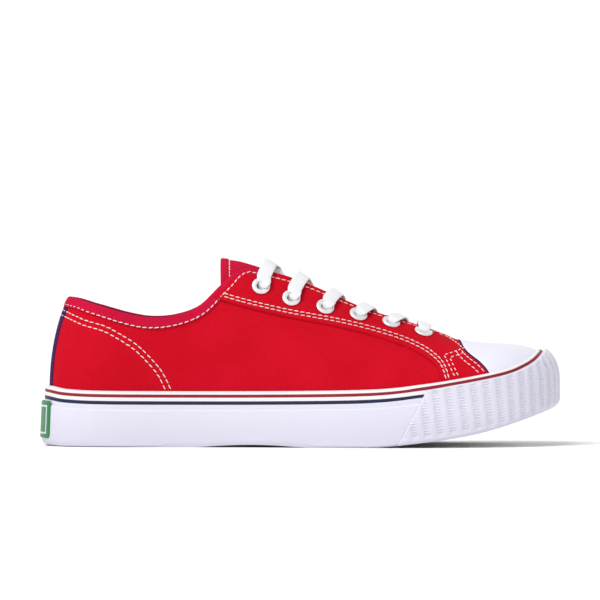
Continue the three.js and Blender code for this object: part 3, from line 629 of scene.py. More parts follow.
def facing_out(patch):
    """The patch with its triangles turned to agree with its normals."""
    data, tris = patch
    a, b, c = (data[tris[:, k], :3] for k in range(3))
    agree = np.einsum("ij,ij->", np.cross(b - a, c - a), data[tris[:, 0], 3:6])
    return data, (tris if agree > 0 else tris[:, ::-1])


def grid_patch(data, wrap_rows=False):
    """A grid of data rows as a patch of triangles that faces out."""
    rows, columns, size = data.shape
    return facing_out((data.reshape(-1, size), halved(grid_faces(rows, columns, wrap_rows))))


def outward_faces(points, quads):
    """Quads turned so that the closed form they bound has a positive volume."""
    a, b, c, d = (points[quads[:, k]] for k in range(4))
    middle = points.mean(0)
    volume = np.einsum("ij,ij->", (a + c) / 2 - middle, np.cross(c - a, d - b))
    return quads if volume > 0 else quads[:, ::-1]


def split(patch, value):
    """Cuts every triangle of a patch along the line where value is 0; value has one number a row."""
    data, tris = patch
    value = np.where(np.abs(value) < 1e-3, np.where(value < 0, -1e-3, 1e-3), value)
    sign = value[tris] > 0
    count = sign.sum(1)
    mixed = (count == 1) | (count == 2)
    whole, torn, sign, count = tris[~mixed], tris[mixed], sign[mixed], count[mixed]
    if not len(torn):
        return data, tris, value
    odd = np.where(count == 1, sign.argmax(1), sign.argmin(1))
    torn = np.take_along_axis(torn, (odd[:, None] + np.arange(3)) % 3, 1)
    a, b, c = torn.T
    ends = np.sort(np.vstack([np.column_stack([a, b]), np.column_stack([a, c])]), 1)
    ends, back = np.unique(ends, axis=0, return_inverse=True)
    back = back.reshape(-1)
    e, f = ends.T
    t = (value[e] / (value[e] - value[f]))[:, None]
    ids = len(data) + back
    ab, ac = ids[:len(a)], ids[len(a):]
    data = np.vstack([data, mix(data[e], data[f], t)])
    value = np.concatenate([value, np.zeros(len(ends))])
    made = [np.column_stack(v) for v in ((a, ab, ac), (ab, b, c), (ab, c, ac))]
    return data, np.vstack([whole] + made), value


def lined(patch, field, levels):
    """Adds rows of points where a field of the position has each level."""
    for level in levels:
        data, tris, _ = split(patch, field(patch[0]) - level)
        patch = data, tris
    return patch


def kept(patch, field, level=0.0):
    """The part of a patch where a field of the position is above a level, cut along a clean line."""
    data, tris, value = split(patch, field(patch[0]) - level)
    tris = tris[value[tris].mean(1) > 0]
    used, tris = np.unique(tris, return_inverse=True)
    return data[used], tris.reshape(-1, 3)


def shell(patch, outer, inner):
    """Closed sheet: the patch lifted by outer, the patch lifted by inner, and a wall on its free edge."""
    data, tris = patch
    count = len(data)
    top = data[:, :3] + data[:, 3:6] * np.reshape(outer, (-1, 1))
    low = data[:, :3] + data[:, 3:6] * np.reshape(inner, (-1, 1))
    edges = np.vstack([tris[:, [0, 1]], tris[:, [1, 2]], tris[:, [2, 0]]]).astype(np.int64)
    free = edges[~np.isin(edges[:, 0] * count + edges[:, 1], edges[:, 1] * count + edges[:, 0])]
    a, b = free.T
    wall = np.column_stack([b, a, a + count, b + count])
    faces = np.vstack([tris, tris[:, ::-1] + count])
    return np.vstack([top, low]), wall, faces


def sheet_piece(name, patch, outer, inner, looks, angle=50, lined_inside=False):
    """A shell made into an object; with a lining its inner faces take the second look."""
    points, wall, faces = shell(patch, outer, inner)
    uv = np.vstack([patch[0][:, 6:8]] * 2)
    look_of = None
    if lined_inside:
        look_of = np.zeros(len(wall) + len(faces))
        look_of[len(wall) + len(patch[1]):] = 1
    return finish_mesh(name, points, wall, faces, uv, looks, look_of, angle)


def rolled(distance, radius):
    """Share of the full lift near an edge: a quarter circle over the radius."""
    near = 1 - np.clip(distance / radius, 0, 1)
    return np.sqrt(np.maximum(1 - near * near, 0))


def last_patch(columns, wall_rows, crown_rows, lowest):
    """The whole last as a grid of station and climb, from the lateral wall over the ridge to the
    medial wall, as triangles; rows of data are point, normal and cloth coordinates."""
    s = np.linspace(0, 1, columns + 1)
    t = np.concatenate([np.linspace(lowest, 2, wall_rows), 2 + np.linspace(0, 1, crown_rows + 1)[1:]])
    count = 2 * len(t) - 1
    climb = np.concatenate([t, t[-2::-1]])
    side = np.concatenate([np.full(len(t), -1.0), np.full(len(t) - 1, 1.0)])
    point, normal = skin(s[:, None], side[None, :], climb[None, :], tucked=False)
    rise = np.linalg.norm(np.diff(point, axis=1), axis=2)
    v = np.concatenate([np.zeros((len(s), 1)), np.cumsum(rise, 1)], 1)
    fx, fy = outline(s, -1.0)
    run = run_length(np.column_stack([fx, fy]))
    data = side_by_side(point, normal, run[:, None], v).reshape(-1, 8)
    quads = grid_faces(len(s), count)
    ends = np.arange(len(data))
    across = ends % count
    at_end = (ends < count) | (ends >= (len(s) - 1) * count)
    ends = np.where(at_end & (across >= len(t)), ends - across + (count - 1 - across), ends)
    tris = halved(ends[quads])
    a, b, c = tris.T
    tris = tris[(a != b) & (b != c) & (c != a)][:, ::-1]
    used, tris = np.unique(tris, return_inverse=True)
    return data[used], tris.reshape(-1, 3)


# Materials


def looks_base(name, color, rough, specular):
    """A principled material with its constants on the shader's own sockets: material, tree, shader."""
    made = bpy.data.materials.new(name)
    made.use_nodes = True
    shader = made.node_tree.nodes["Principled BSDF"]
    shader.inputs["Base Color"].default_value = (*color, 1)
    shader.inputs["Roughness"].default_value = rough
    shader.inputs["Specular IOR Level"].default_value = specular
    return made, made.node_tree, shader


def node(tree, kind, inputs=(), **properties):
    """A node of a kind with its properties set; each input is set to a value or linked to a socket."""
    made = tree.nodes.new("ShaderNode" + kind)
    for key, value in properties.items():
        setattr(made, key, value)
    for key, value in dict(inputs).items():
        if isinstance(value, bpy.types.NodeSocket):
            tree.links.new(value, made.inputs[key])
        else:
            made.inputs[key].default_value = value
    return made


def sum_of(tree, operation, first, second=0.0):
    """Result of a Math node on one or two sockets or values."""
    return node(tree, "Math", {0: first, 1: second}, operation=operation).outputs[0]


def two_tone(tree, shader, factor, first, second):
    """Base colour blended between two tones by a varying factor."""
    blend = node(tree, "Mix", {0: factor, 6: (*first, 1), 7: (*second, 1)}, data_type="RGBA")
    tree.links.new(blend.outputs[2], shader.inputs["Base Color"])


def bumped(tree, shader, height, strength, distance):
    """The shader's normal tilted by a height socket; distance in metres."""
    bump = node(tree, "Bump", {"Strength": strength, "Distance": distance, "Height": height})
    tree.links.new(bump.outputs[0], shader.inputs["Normal"])


def woven(name, first, second, pitch, rough=0.9, depth=0.35):
    """Plain weave on the cloth coordinates: over and under by a checker, each thread a rounded ridge,
    with slubs and a slow change of tone."""
    made, tree, shader = looks_base(name, first, rough, 0.05)
    cloth = node(tree, "UVMap", uv_map="cloth").outputs[0]
    parts = node(tree, "SeparateXYZ", {0: cloth})
    warp, weft = (sum_of(tree, "ABSOLUTE", sum_of(tree, "SINE", sum_of(
        tree, "MULTIPLY", parts.outputs[axis], math.pi / (pitch * MM)))) for axis in (0, 1))
    over = node(tree, "TexChecker", {"Vector": cloth, "Scale": 1 / (pitch * MM)}).outputs["Fac"]
    weave = node(tree, "Mix", {0: over, 2: warp, 3: weft}, data_type="FLOAT").outputs[0]
    place = node(tree, "TexCoord").outputs["Object"]
    slub = node(tree, "TexNoise", {"Vector": place, "Scale": 900.0, "Detail": 3.0}).outputs["Fac"]
    slow = node(tree, "TexNoise", {"Vector": place, "Scale": 38.0, "Detail": 2.0}).outputs["Fac"]
    tone = sum_of(tree, "MULTIPLY", slub, slow)
    wide = node(tree, "MapRange", {"Value": tone, "From Min": 0.16, "From Max": 0.36})
    two_tone(tree, shader, wide.outputs[0], first, second)
    bumped(tree, shader, sum_of(tree, "ADD", weave, slub), depth, 0.00016)
    return made


def moulded(name, first, second, rough, grain, depth, rise=None):
    """Moulded rubber: a fine grain in its bump and a slow, faint change of tone and gloss; with a rise
    the colour is painted shade instead of that tone: it goes from the first at the floor to the second at
    that height."""
    made, tree, shader = looks_base(name, first, rough, 0.35)
    place = node(tree, "TexCoord").outputs["Object"]
    fine = node(tree, "TexNoise", {"Vector": place, "Scale": grain, "Detail": 4.0}).outputs["Fac"]
    slow = node(tree, "TexNoise", {"Vector": place, "Scale": 24.0, "Detail": 2.0}).outputs["Fac"]
    tone = slow
    # Painted shade near the floor: with a rise the colour darkens towards the floor in place of the slow
    # tone
    if rise:
        height = node(tree, "SeparateXYZ", {0: place}).outputs[2]
        tone = node(tree, "MapRange", {"Value": height, "From Max": rise}).outputs[0]
    two_tone(tree, shader, tone, first, second)
    gloss = node(tree, "MapRange", {"Value": slow, "To Min": rough - 0.08, "To Max": rough + 0.08})
    tree.links.new(gloss.outputs[0], shader.inputs["Roughness"])
    bumped(tree, shader, fine, depth, 0.0002)
    return made


def braided(name, first, second, pitch):
    """Flat braid: chevrons that run both ways from the middle of the lace."""
    made, tree, shader = looks_base(name, first, 0.8, 0.2)
    shader.inputs["Sheen Weight"].default_value = 0.15
    cloth = node(tree, "UVMap", uv_map="cloth").outputs[0]
    parts = node(tree, "SeparateXYZ", {0: cloth})
    slant = sum_of(tree, "ADD", parts.outputs[0], sum_of(tree, "ABSOLUTE", parts.outputs[1]))
    wave = sum_of(tree, "SINE", sum_of(tree, "MULTIPLY", slant, TURN / (pitch * MM)))
    share = node(tree, "MapRange", {"Value": wave, "From Min": -1.0}).outputs[0]
    two_tone(tree, shader, share, second, first)
    bumped(tree, shader, wave, 0.5, 0.0002)
    return made


canvas_red = woven("canvas_red", (0.515, 0.0035, 0.013), (0.57, 0.0045, 0.018), 0.62)
binding_red = woven("binding_red", (0.50, 0.006, 0.036), (0.56, 0.008, 0.046), 0.5)
# Lining: a darker copy of the crimson canvas; its darkness is painted shade for the inside of the shoe
lining_painted_shade = woven("lining_painted_shade", (0.10, 0.012, 0.05), (0.13, 0.016, 0.065), 0.7)
footbed_cloth = woven("footbed_cloth", (0.62, 0.56, 0.48), (0.70, 0.64, 0.56), 0.7)
stay_navy = woven("stay_navy", (0.045, 0.016, 0.07), (0.06, 0.02, 0.09), 0.5)
thread_white = woven("thread_white", (0.80, 0.74, 0.72), (0.86, 0.81, 0.79), 0.5, depth=0.2)
# White rubber of the foxing, bumper and label line: darker over its lowest 22 mm as painted shade near the
# floor
rubber_white = moulded("rubber_white", (0.60, 0.59, 0.69), (0.70, 0.69, 0.80), 0.5, 700.0, 0.15, 0.022)
tape_white = moulded("tape_white", (0.79, 0.775, 0.80), (0.81, 0.795, 0.82), 0.5, 700.0, 0.12)
rubber_cap = moulded("rubber_cap", (0.74, 0.73, 0.83), (0.77, 0.76, 0.86), 0.42, 500.0, 0.08)
rubber_sole = moulded("rubber_sole", (0.72, 0.70, 0.68), (0.78, 0.76, 0.73), 0.62, 900.0, 0.25)
stripe_red = moulded("stripe_red", (0.235, 0.006, 0.014), (0.275, 0.008, 0.018), 0.5, 700.0, 0.1)
stripe_navy = moulded("stripe_navy", (0.008, 0.012, 0.042), (0.012, 0.016, 0.055), 0.5, 700.0, 0.1)
label_green = moulded("label_green", (0.022, 0.17, 0.055), (0.03, 0.21, 0.07), 0.42, 600.0, 0.1)
lace_white = braided("lace_white", (0.86, 0.86, 0.87), (0.78, 0.78, 0.80), 1.3)
enamel = moulded("enamel", (0.80, 0.80, 0.83), (0.86, 0.86, 0.88), 0.3, 400.0, 0.05)
enamel.node_tree.nodes["Principled BSDF"].inputs["Metallic"].default_value = 0.45

# Eyelet places
eyelet_x = np.array(EYELET_ROW["at"]) * LENGTH
eyelet_out = throat_half(eyelet_x) + np.array(EYELET_ROW["inset"]) * EYELET_INSET
eyelets = {side: spot(eyelet_x, throat_middle(eyelet_x) + side * eyelet_out) for side in (-1, 1)}
eyelet_point = np.vstack([eyelets[-1][0], eyelets[1][0]])
eyelet_normal = np.vstack([eyelets[-1][1], eyelets[1][1]])


def from_eyelets(p):
    """Distance from the nearest eyelet's axis."""
    gap = np.full(len(p), 1e9)
    for centre, axis in zip(eyelet_point, eyelet_normal):
        off = p[:, :3] - centre
        along = off @ axis
        radial = np.sqrt(np.maximum((off ** 2).sum(1) - along ** 2, 0))
        gap = np.minimum(gap, np.where(np.abs(along) < 12, radial, 1e9))
    return gap


def fold_depth(p):
    """Soft folds: each is a trough, exp(-(along/long)^4 - (across/wide)^2), in the side view."""
    depth = np.zeros(len(p))
    for at, up, lean, long, wide, deep in zip(*(FOLDS[k] for k in FOLDS)):
        dx, dz = p[:, 0] - at * LENGTH, p[:, 2] - up * INSTEP_HEIGHT
        c, s = math.cos(math.radians(lean)), math.sin(math.radians(lean))
        along, across = dx * c + dz * s, dz * c - dx * s
        depth += deep * np.exp(-(along / long) ** 4 - (across / wide) ** 2)
    return depth


# Seams: each is a list of (points, normals) along the surface


def throat_seam(start, end, side):
    """Line beside the throat's edge, along one side of the throat."""
    x = np.linspace(start, end, 160)
    return spot(x, throat_middle(x) + side * (throat_half(x) + THROAT_SEAM))


def side_seam(line, side):
    """A side-view line laid on one side of the skin."""
    return on_side(line[:, 0], line[:, 1], side)


def heel_seam(line, side, count=260):
    """A side-view line followed from the middle of the heel forward: at each station the climb is
    halved until the skin meets the line."""
    s = np.linspace(0, 1, 2001)
    s = np.linspace(0, np.interp(line[-1, 0], station_x(s), s), count)

    def under(t):
        point, _ = skin(s, side, t)
        return point[:, 2] < np.interp(point[:, 0], line[:, 0], line[:, 1])

    return skin(s, side, meeting(np.full(count, 1.05), np.full(count, 3.0), under))


def part_of(line, start, end):
    """The stretch of a line between two x."""
    return line[(line[:, 0] >= start) & (line[:, 0] <= end)]


collar_drop = np.interp(collar_line[:, 0] / LENGTH, COLLAR_SEAM["at"], COLLAR_SEAM["drop"]) * BINDING_WIDTH
collar_seam = part_of(shifted(collar_line, collar_drop), HEEL_END + 1.5, throat_mouth - COLLAR_SEAM_FRONT)
eyestay_seams = [shifted(eyestay_line, -d) for d in EYESTAY_SEAMS]
counter_seams = [counter_line, shifted(counter_line, COUNTER_SEAM_PITCH)]
cap_seams = [shifted(cap_line, d) for d in CAP_SEAMS]


def above_line(line, other, room):
    """The stretch of a side-view line that lies above another line by at least room."""
    return line[beside(line[:, 0], line[:, 1], other) > room]


def lift_line(seam, lift):
    """Points of a seam raised along the surface's normals."""
    point, normal = seam
    return point + normal * lift, normal


def run_length(points):
    """Distance along a line of points."""
    return np.concatenate([[0], np.cumsum(np.linalg.norm(np.diff(points, axis=0), axis=1))])


def resampled(points, values, at):
    """Values along a line of points, read at given distances."""
    run = run_length(points)
    return np.column_stack([np.interp(at, run, values[:, k]) for k in range(values.shape[1])])


rng = np.random.default_rng(7)


def stitches(name, seams, pitch=STITCH_PITCH, long=STITCH_LONG):
    """Threads along seams: each stitch is a bead, radius r*sqrt(1-u^4) over its length, sunk at both
    ends, at an even pitch with a little unevenness."""
    u = np.array([-1, -0.82, -0.4, 0, 0.4, 0.82, 1])
    around = np.arange(STITCH_SIDES) / STITCH_SIDES * TURN
    bead = np.sqrt(np.maximum(1 - u ** 4, 0.02))
    points, quads, uvs, base = [], [], [], 0
    one = grid_faces(len(u), STITCH_SIDES, wrap_columns=True)
    for line, normal in seams:
        total = run_length(line)[-1]
        count = int(total / pitch)
        if count < 1:
            continue
        at = (np.arange(count) + 0.5) * total / count + rng.uniform(-0.12, 0.12, count)
        centre = resampled(line, line, at)
        up = unit(resampled(line, normal, at))
        ahead = unit(resampled(line, line, at + 0.4) - resampled(line, line, at - 0.4))
        across = unit(np.cross(up, ahead))
        skew = rng.uniform(-0.06, 0.06, count)[:, None]
        ahead = unit(ahead + across * (0.08 + skew))
        across = unit(np.cross(up, ahead))
        long_by = ahead[:, None, None] * (u * long / 2)[None, :, None, None]
        ring = across[:, None, None] * np.cos(around)[None, None, :, None]
        ring = ring + up[:, None, None] * np.sin(around)[None, None, :, None] * 0.8
        sink = up[:, None, None] * (-0.22 * u ** 4)[None, :, None, None]
        grid = centre[:, None, None] + long_by + sink + ring * (bead * STITCH_RADIUS)[None, :, None, None]
        grid = grid.reshape(-1, 3)
        size = len(u) * STITCH_SIDES
        faces = one[None] + (np.arange(count) * size)[:, None, None]
        caps = np.array([[0, 1, 2, 3], [0, 3, 4, 5], [size - 3, size - 4, size - 5, size - 6],
                         [size - 1, size - 2, size - 3, size - 6]])
        caps = caps[None] + (np.arange(count) * size)[:, None, None]
        both = np.vstack([faces.reshape(-1, 4), caps.reshape(-1, 4)[:, ::-1]])
        if np.einsum("ij,ij->", np.cross(*(grid[both[:, k]] - grid[both[:, 0]] for k in (1, 2))),
                     grid[both[:, 0]] - np.repeat(centre, size, 0)[both[:, 0]]) < 0:
            both = both[:, ::-1]
        points.append(grid)
        quads.append(both + base)
        uvs.append(np.column_stack([np.tile(np.repeat(u * long / 2, STITCH_SIDES), count),
                                    np.tile(np.tile(around, len(u)) * 0.3, count)]))
        base += len(grid)
    made = finish_mesh(name, np.vstack(points), np.vstack(quads), uv=np.vstack(uvs),
                       looks=[thread_white], angle=80)
    return settle(made, "lace")


def groove(p, line, depth=0.22, wide=1.1):
    """Pull of a seam on the cloth: a narrow trough along a side-view line."""
    return depth * np.exp(-(beside(p[:, 0], p[:, 2], line) / wide) ** 2)


# Pieces


def sole_level(x):
    """Height of the outsole's top above its underside."""
    return mix(OUTSOLE_HEEL, OUTSOLE_FORE, smooth(x / LENGTH, 0.25, 0.65))


def above_outsole(p):
    """Distance above the top of the outsole, less the gap to it."""
    return p[:, 2] - (underside(p[:, 0]) + sole_level(p[:, 0]) + GAP)


def outside_opening(p):
    """Distance outside the throat for points on top of the shoe; large for all others."""
    on_top = (p[:, 0] > 0.3 * LENGTH) & (p[:, 2] > 0.4 * INSTEP_HEIGHT)
    return np.where(on_top, from_throat(p), 9.0)


def make_upper(whole):
    """Canvas wall: the last's skin from the insole to the collar, with throat and eyelet holes."""
    patch = kept(whole, above_outsole)
    patch = kept(patch, below_collar, BINDING_WIDTH * COLLAR_TUCK)
    patch = kept(patch, outside_opening)
    patch = kept(patch, from_eyelets, EYELET_BARREL + GAP)
    for line in counter_seams:
        patch = lined(patch, lambda p: beside(p[:, 0], p[:, 2], line), (-0.9, 0, 0.9))
    p = patch[0]
    move = -fold_depth(p) * smooth(above_foxing(p), 0, 6) * smooth(below_collar(p), 4, 12)
    pull = sum(groove(p, line) * smooth(above_foxing(p), 0, 1.5) for line in counter_seams)
    return settle(sheet_piece("upper_canvas", patch, move - pull, move - UPPER_WALL,
                              [canvas_red, lining_painted_shade], lined_inside=True), "canvas", "upper")


def make_eyestay(whole):
    """Canvas overlay round the throat, its edges rolled, its seams pulled in."""
    patch = kept(whole, inside_eyestay)
    patch = kept(patch, above_foxing, -2.0)
    patch = kept(patch, behind_cap, -1.5)
    patch = kept(patch, below_collar, BINDING_WIDTH * COLLAR_TUCK)
    patch = kept(patch, from_throat)
    patch = kept(patch, from_eyelets, EYELET_BARREL + GAP)
    patch = lined(patch, inside_eyestay, (0.15, 0.5, 1.0, 1.7, 2.5, 3.35, 4.2, 5.0))
    patch = lined(patch, from_throat, (0.2, 0.6, 1.2, 2.2, 3.2, 4.2))
    patch = lined(patch, behind_cap, (0.9, 1.7, 2.6, 4.4, 5.3))
    p = patch[0]
    edge = inside_eyestay(p)
    throat = from_throat(p)
    lift = OVERLAY * rolled(edge, 0.9) * rolled(throat, 0.8)
    roll = 0.35 * np.exp(-((edge - 1.0) / 0.8) ** 2) * smooth(edge, 0, 0.6)
    roll += 0.35 * np.exp(-((throat - 1.1) / 0.9) ** 2) * smooth(throat, 0, 0.6)
    pull = sum(0.24 * np.exp(-((edge - d) / 0.7) ** 2) for d in EYESTAY_SEAMS)
    pull += 0.24 * np.exp(-((throat - THROAT_SEAM) / 0.8) ** 2)
    pull += sum(0.22 * np.exp(-((behind_cap(p) - d) / 0.8) ** 2) for d in CAP_SEAMS)
    dip = 0.35 * np.exp(-((from_eyelets(p) - EYELET_RADIUS) / 1.6) ** 2)
    move = -fold_depth(p) * 0.6 * smooth(edge, -2, 4)
    outer = GAP + lift + roll - pull - dip + move
    return settle(sheet_piece("eyestay_canvas", patch, outer, GAP * 0.4 + move, [canvas_red]),
                  "canvas", "eyestay")


def make_cap(whole):
    """Smooth rubber toe cap with a rounded rear edge."""
    patch = kept(whole, ahead_of_cap_edge)
    patch = kept(patch, above_foxing, -3.0)
    patch = lined(patch, ahead_of_cap_edge, (0.12, 0.4, 0.8, 1.4))
    lift = CAP_WALL * rolled(ahead_of_cap_edge(patch[0]), 1.3)
    return settle(sheet_piece("toe_cap_rubber", patch, GAP + lift, GAP * 0.5, [rubber_cap]),
                  "cap_rubber", "toe_cap")


def make_piping(whole):
    """Thin dark line of tape that shows along the toe cap's rear edge."""
    patch = kept(whole, behind_cap, -0.4)
    patch = kept(patch, ahead_of_cap_edge, -0.5)
    patch = kept(patch, above_foxing, -1.0)
    made = sheet_piece("toe_cap_piping", patch, GAP + OVERLAY + 0.12, GAP, [stay_navy])
    return settle(made, "stay_tape")


def inside_stay(p):
    """Distance inside the heel tape's side edges; below zero away from the heel."""
    return np.where(p[:, 0] < LENGTH / 9, STAY_WIDTH / 2 - np.abs(p[:, 1]), -9.0)


def make_stay(whole):
    """Woven tape up the middle of the heel."""
    patch = kept(whole, inside_stay)
    patch = kept(patch, above_foxing, -1.5)
    patch = kept(patch, below_collar, BINDING_WIDTH * 0.5)
    patch = lined(patch, inside_stay, (0.12, 0.4, 0.8))
    lift = STAY_WALL * rolled(inside_stay(patch[0]), 0.6)
    return settle(sheet_piece("back_stay_tape", patch, GAP * 0.5 + lift, 0.0, [stay_navy]),
                  "stay_tape", "back_stay")


def swept(name, centre, across, up, profile, looks, second=()):
    """A closed profile of (across, up) offsets carried along a path, one profile a point or the same
    for all, with flat ends; the profile's sides listed in second take the second look."""
    profile = np.broadcast_to(profile, (len(centre),) + np.shape(profile)[-2:])
    points = (centre[:, None] + across[:, None] * profile[..., :1] + up[:, None] * profile[..., 1:])
    rows, columns = points.shape[:2]
    quads = grid_faces(rows, columns, wrap_columns=True)
    run = run_length(centre)
    step = np.linalg.norm(np.diff(profile, axis=1), axis=2)
    girth = np.concatenate([np.zeros((rows, 1)), np.cumsum(step, 1)], 1)
    uv = np.stack([np.repeat(run[:, None], columns, 1), girth - girth[:, -1:] / 2], -1).reshape(-1, 2)
    points = points.reshape(-1, 3)
    caps = []
    half = columns // 2
    for row in (0, rows - 1):
        a = row * columns + np.arange(half)
        b = row * columns + (columns - np.arange(half)) % columns
        strip = np.column_stack([a[:-1], a[1:], b[1:], b[:-1]])
        middle = np.array([[a[-1], row * columns + half, b[-1], b[-1]]])
        faces = np.vstack([strip, middle])
        caps.append(faces if row else faces[:, ::-1])
    whole = np.vstack([quads] + caps)
    look = np.zeros(len(whole))
    look[:len(quads)] = np.isin(np.arange(len(quads)) % columns, second)
    tris = halved(whole)
    proper = (tris[:, 0] != tris[:, 1]) & (tris[:, 1] != tris[:, 2]) & (tris[:, 2] != tris[:, 0])
    tris, look = tris[proper], np.tile(look, 2)[proper]
    a, b, c = (points[tris[:, k]] for k in range(3))
    if np.einsum("ij,ij->", a, np.cross(b, c)) < 0:
        tris = tris[:, ::-1]
    return finish_mesh(name, points, tris=tris, uv=uv, looks=looks, look_of=look, angle=60)


def oval(count):
    """Flat oval profile of width and height 1: a superellipse, squarer across than up."""
    angle = np.arange(count) / count * TURN
    c, s = np.cos(angle), np.sin(angle)
    a = np.sign(c) * np.abs(c) ** (2 / 3)
    b = np.sign(s) * np.abs(s) ** (2 / 2.2)
    return np.column_stack([a, b]) / 2


def make_binding():
    """Folded crimson rim: a rounded strip profile carried round the collar, as deep as its seam."""
    s = np.linspace(0, 0.5, 260)
    halves = []
    for side in (-1, 1):

        def under(t):
            return below_collar(skin(s, side, t)[0]) > 0

        point, normal = skin(s, side, meeting(np.full(s.shape, 1.9), np.full(s.shape, 3.0), under))
        aside = np.abs(point[:, 1] - throat_middle(point[:, 0])) > THROAT_BACK - 0.2
        inside = (point[:, 0] < 0.3 * LENGTH) | ((point[:, 0] < throat_mouth + 2) & aside)
        last = np.argmin(inside) if not inside.all() else len(inside)
        halves.append((point[:last], normal[:last]))
    path = np.vstack([halves[0][0][::-1], halves[1][0][1:]])
    normal = np.vstack([halves[0][1][::-1], halves[1][1][1:]])
    run = run_length(path)
    at = np.linspace(0, run[-1], 420)
    centre, normal = resampled(path, path, at), unit(resampled(path, normal, at))
    ahead = unit(np.gradient(centre, axis=0))
    up = unit(np.cross(ahead, normal))
    up = up * np.where(up[:, 2:] < 0, -1, 1)
    deep = BINDING_WIDTH * mix(1.0, 0.9, smooth(centre[:, 0] / LENGTH, 0.36, 0.41))
    out, back = GAP + BINDING_WALL * 0.75, UPPER_WALL + BINDING_WALL
    arc = np.linspace(0, math.pi, 9)
    middle, half = (out - back) / 2, (out + back) / 2
    cap = np.column_stack([middle + half * np.cos(arc), half * 0.8 * (np.sin(arc) - 1)])
    tail = np.array([[-back, -0.55], [-back, -0.8], [-back * 0.95, -0.97], [-back + 0.7, -1.0],
                     [out - 0.8, -1.03], [out - 0.25, -1.0], [out, -0.93], [out + 0.12, -0.8],
                     [out + 0.16, -0.6]])
    profile = np.zeros((len(at), len(cap) + len(tail), 2))
    profile[:, :len(cap)] = cap
    profile[:, len(cap):, 0] = tail[:, 0]
    profile[:, len(cap):, 1] = tail[:, 1] * deep[:, None]
    inner_sides = np.arange(5, len(cap) + 3)
    looks = [binding_red, lining_painted_shade]
    made = swept("collar_binding_fold", centre, normal, up, profile, looks, inner_sides)
    return settle(made, "binding", "collar_binding")


def ring(count):
    """Stations and sides once round the shoe from the heel: even steps along the outline."""
    s = np.linspace(0, 1, 3001)
    lateral, medial = (run_length(np.column_stack(outline(s, side))) for side in (-1.0, 1.0))
    total = lateral[-1] + medial[-1]
    at = np.arange(count) / count * total
    on_lateral = at <= lateral[-1]
    station = np.where(on_lateral, np.interp(at, lateral, s), np.interp(total - at, medial, s))
    return station, np.where(on_lateral, -1.0, 1.0), at, lateral[-1]


dense = np.concatenate([
    np.linspace(0, 1, 13), np.linspace(1, 2, 25)[1:], 2 + np.linspace(0, 1, 60)[1:] ** 1.6])


def climbing(s, side, lift, top_room):
    """Side curves from the lower edge up to the foxing's top edge less top_room, lifted off the last:
    arrays (column, step) of points and normals, their run, and the run at the top."""
    point, normal = skin(s[:, None], side[:, None], dense[None, :])
    point = point + normal * lift
    flat = point.reshape(-1, 3)
    over = (above_foxing(flat) + top_room).reshape(point.shape[:2])
    step = np.linalg.norm(np.diff(point, axis=1), axis=2)
    run = np.concatenate([np.zeros((len(s), 1)), np.cumsum(step, 1)], 1)
    beyond = over > 0
    beyond[:, :14] = False
    first = np.where(beyond.any(1), beyond.argmax(1), len(dense) - 1)
    k = np.arange(len(s))
    o1, o0 = over[k, first], over[k, first - 1]
    share = np.clip(-o0 / np.where(np.abs(o1 - o0) < 1e-9, 1, o1 - o0), 0, 1)
    top = mix(run[k, first - 1], run[k, first], share)
    return point, normal, run, top


def read_along(values, run, target):
    """Values of dense side curves read at target runs: straight blend between neighbours."""
    index = np.clip((run[:, :, None] <= target[:, None, :]).sum(1) - 1, 0, run.shape[1] - 2)
    k = np.arange(len(run))[:, None]
    r0, r1 = run[k, index], run[k, index + 1]
    share = np.clip((target - r0) / np.maximum(r1 - r0, 1e-9), 0, 1)[..., None]
    return mix(values[k, index], values[k, index + 1], share)


def make_foxing():
    """Rubber band round the shoe: a thicker lower band, a small step, a thin tape with a rounded top;
    ahead of the bumper's slanted edge only the tape goes on."""
    s, side, at, _ = ring(760)
    point, normal, run, top = climbing(s, side, GAP, 0.0)
    tall = top[:, None]
    drops = np.array([0, 0.25, 0.7, 1.3, 2.4, 4, 5.5, 7, 8.5, 9.7, 10.3, 10.55, 10.8, 11.05, 11.5, 12.4])
    lows = np.linspace(1, 0, 12)[1:]
    target = np.concatenate([tall - drops, (tall - drops[-1]) * lows], 1)
    body = read_along(point, run, target)
    facing = unit(read_along(normal, run, target))
    drop = tall - target
    flat = body.reshape(-1, 3)
    under_bumper = smooth(-behind_bumper(flat).reshape(drop.shape), 0.8, 1.6)
    step = smooth(drop, STEP_DROP - 0.5, STEP_DROP + 0.25) * (1 - under_bumper)
    wall = TAPE_WALL + (BAND_WALL - TAPE_WALL) * step
    wall = wall - 0.18 * np.exp(-((drop - STEP_DROP + 0.7) / 0.45) ** 2) * (1 - under_bumper)
    wall = wall * rolled(drop, 1.0)
    outer = body + facing * wall[..., None]
    inner = read_along(point, run, np.concatenate([tall * v for v in (0, 0.25, 0.5, 0.75, 1)], 1))
    points = np.concatenate([outer, inner[:, :-1]], 1)
    rows, columns = points.shape[:2]
    quads = grid_faces(rows, columns, wrap_rows=True, wrap_columns=True)
    uv = np.stack(np.broadcast_arrays(at[:, None], np.arange(columns) * 1.5), -1).reshape(-1, 2)
    points = points.reshape(-1, 3)
    quads = outward_faces(points, quads)
    on_tape = np.arange(len(quads)) % columns < TAPE_ROWS
    made = finish_mesh("foxing_rubber", points, quads, uv=uv, looks=[rubber_white, tape_white],
                       look_of=on_tape, angle=40)
    return settle(made, "white_rubber", "foxing")


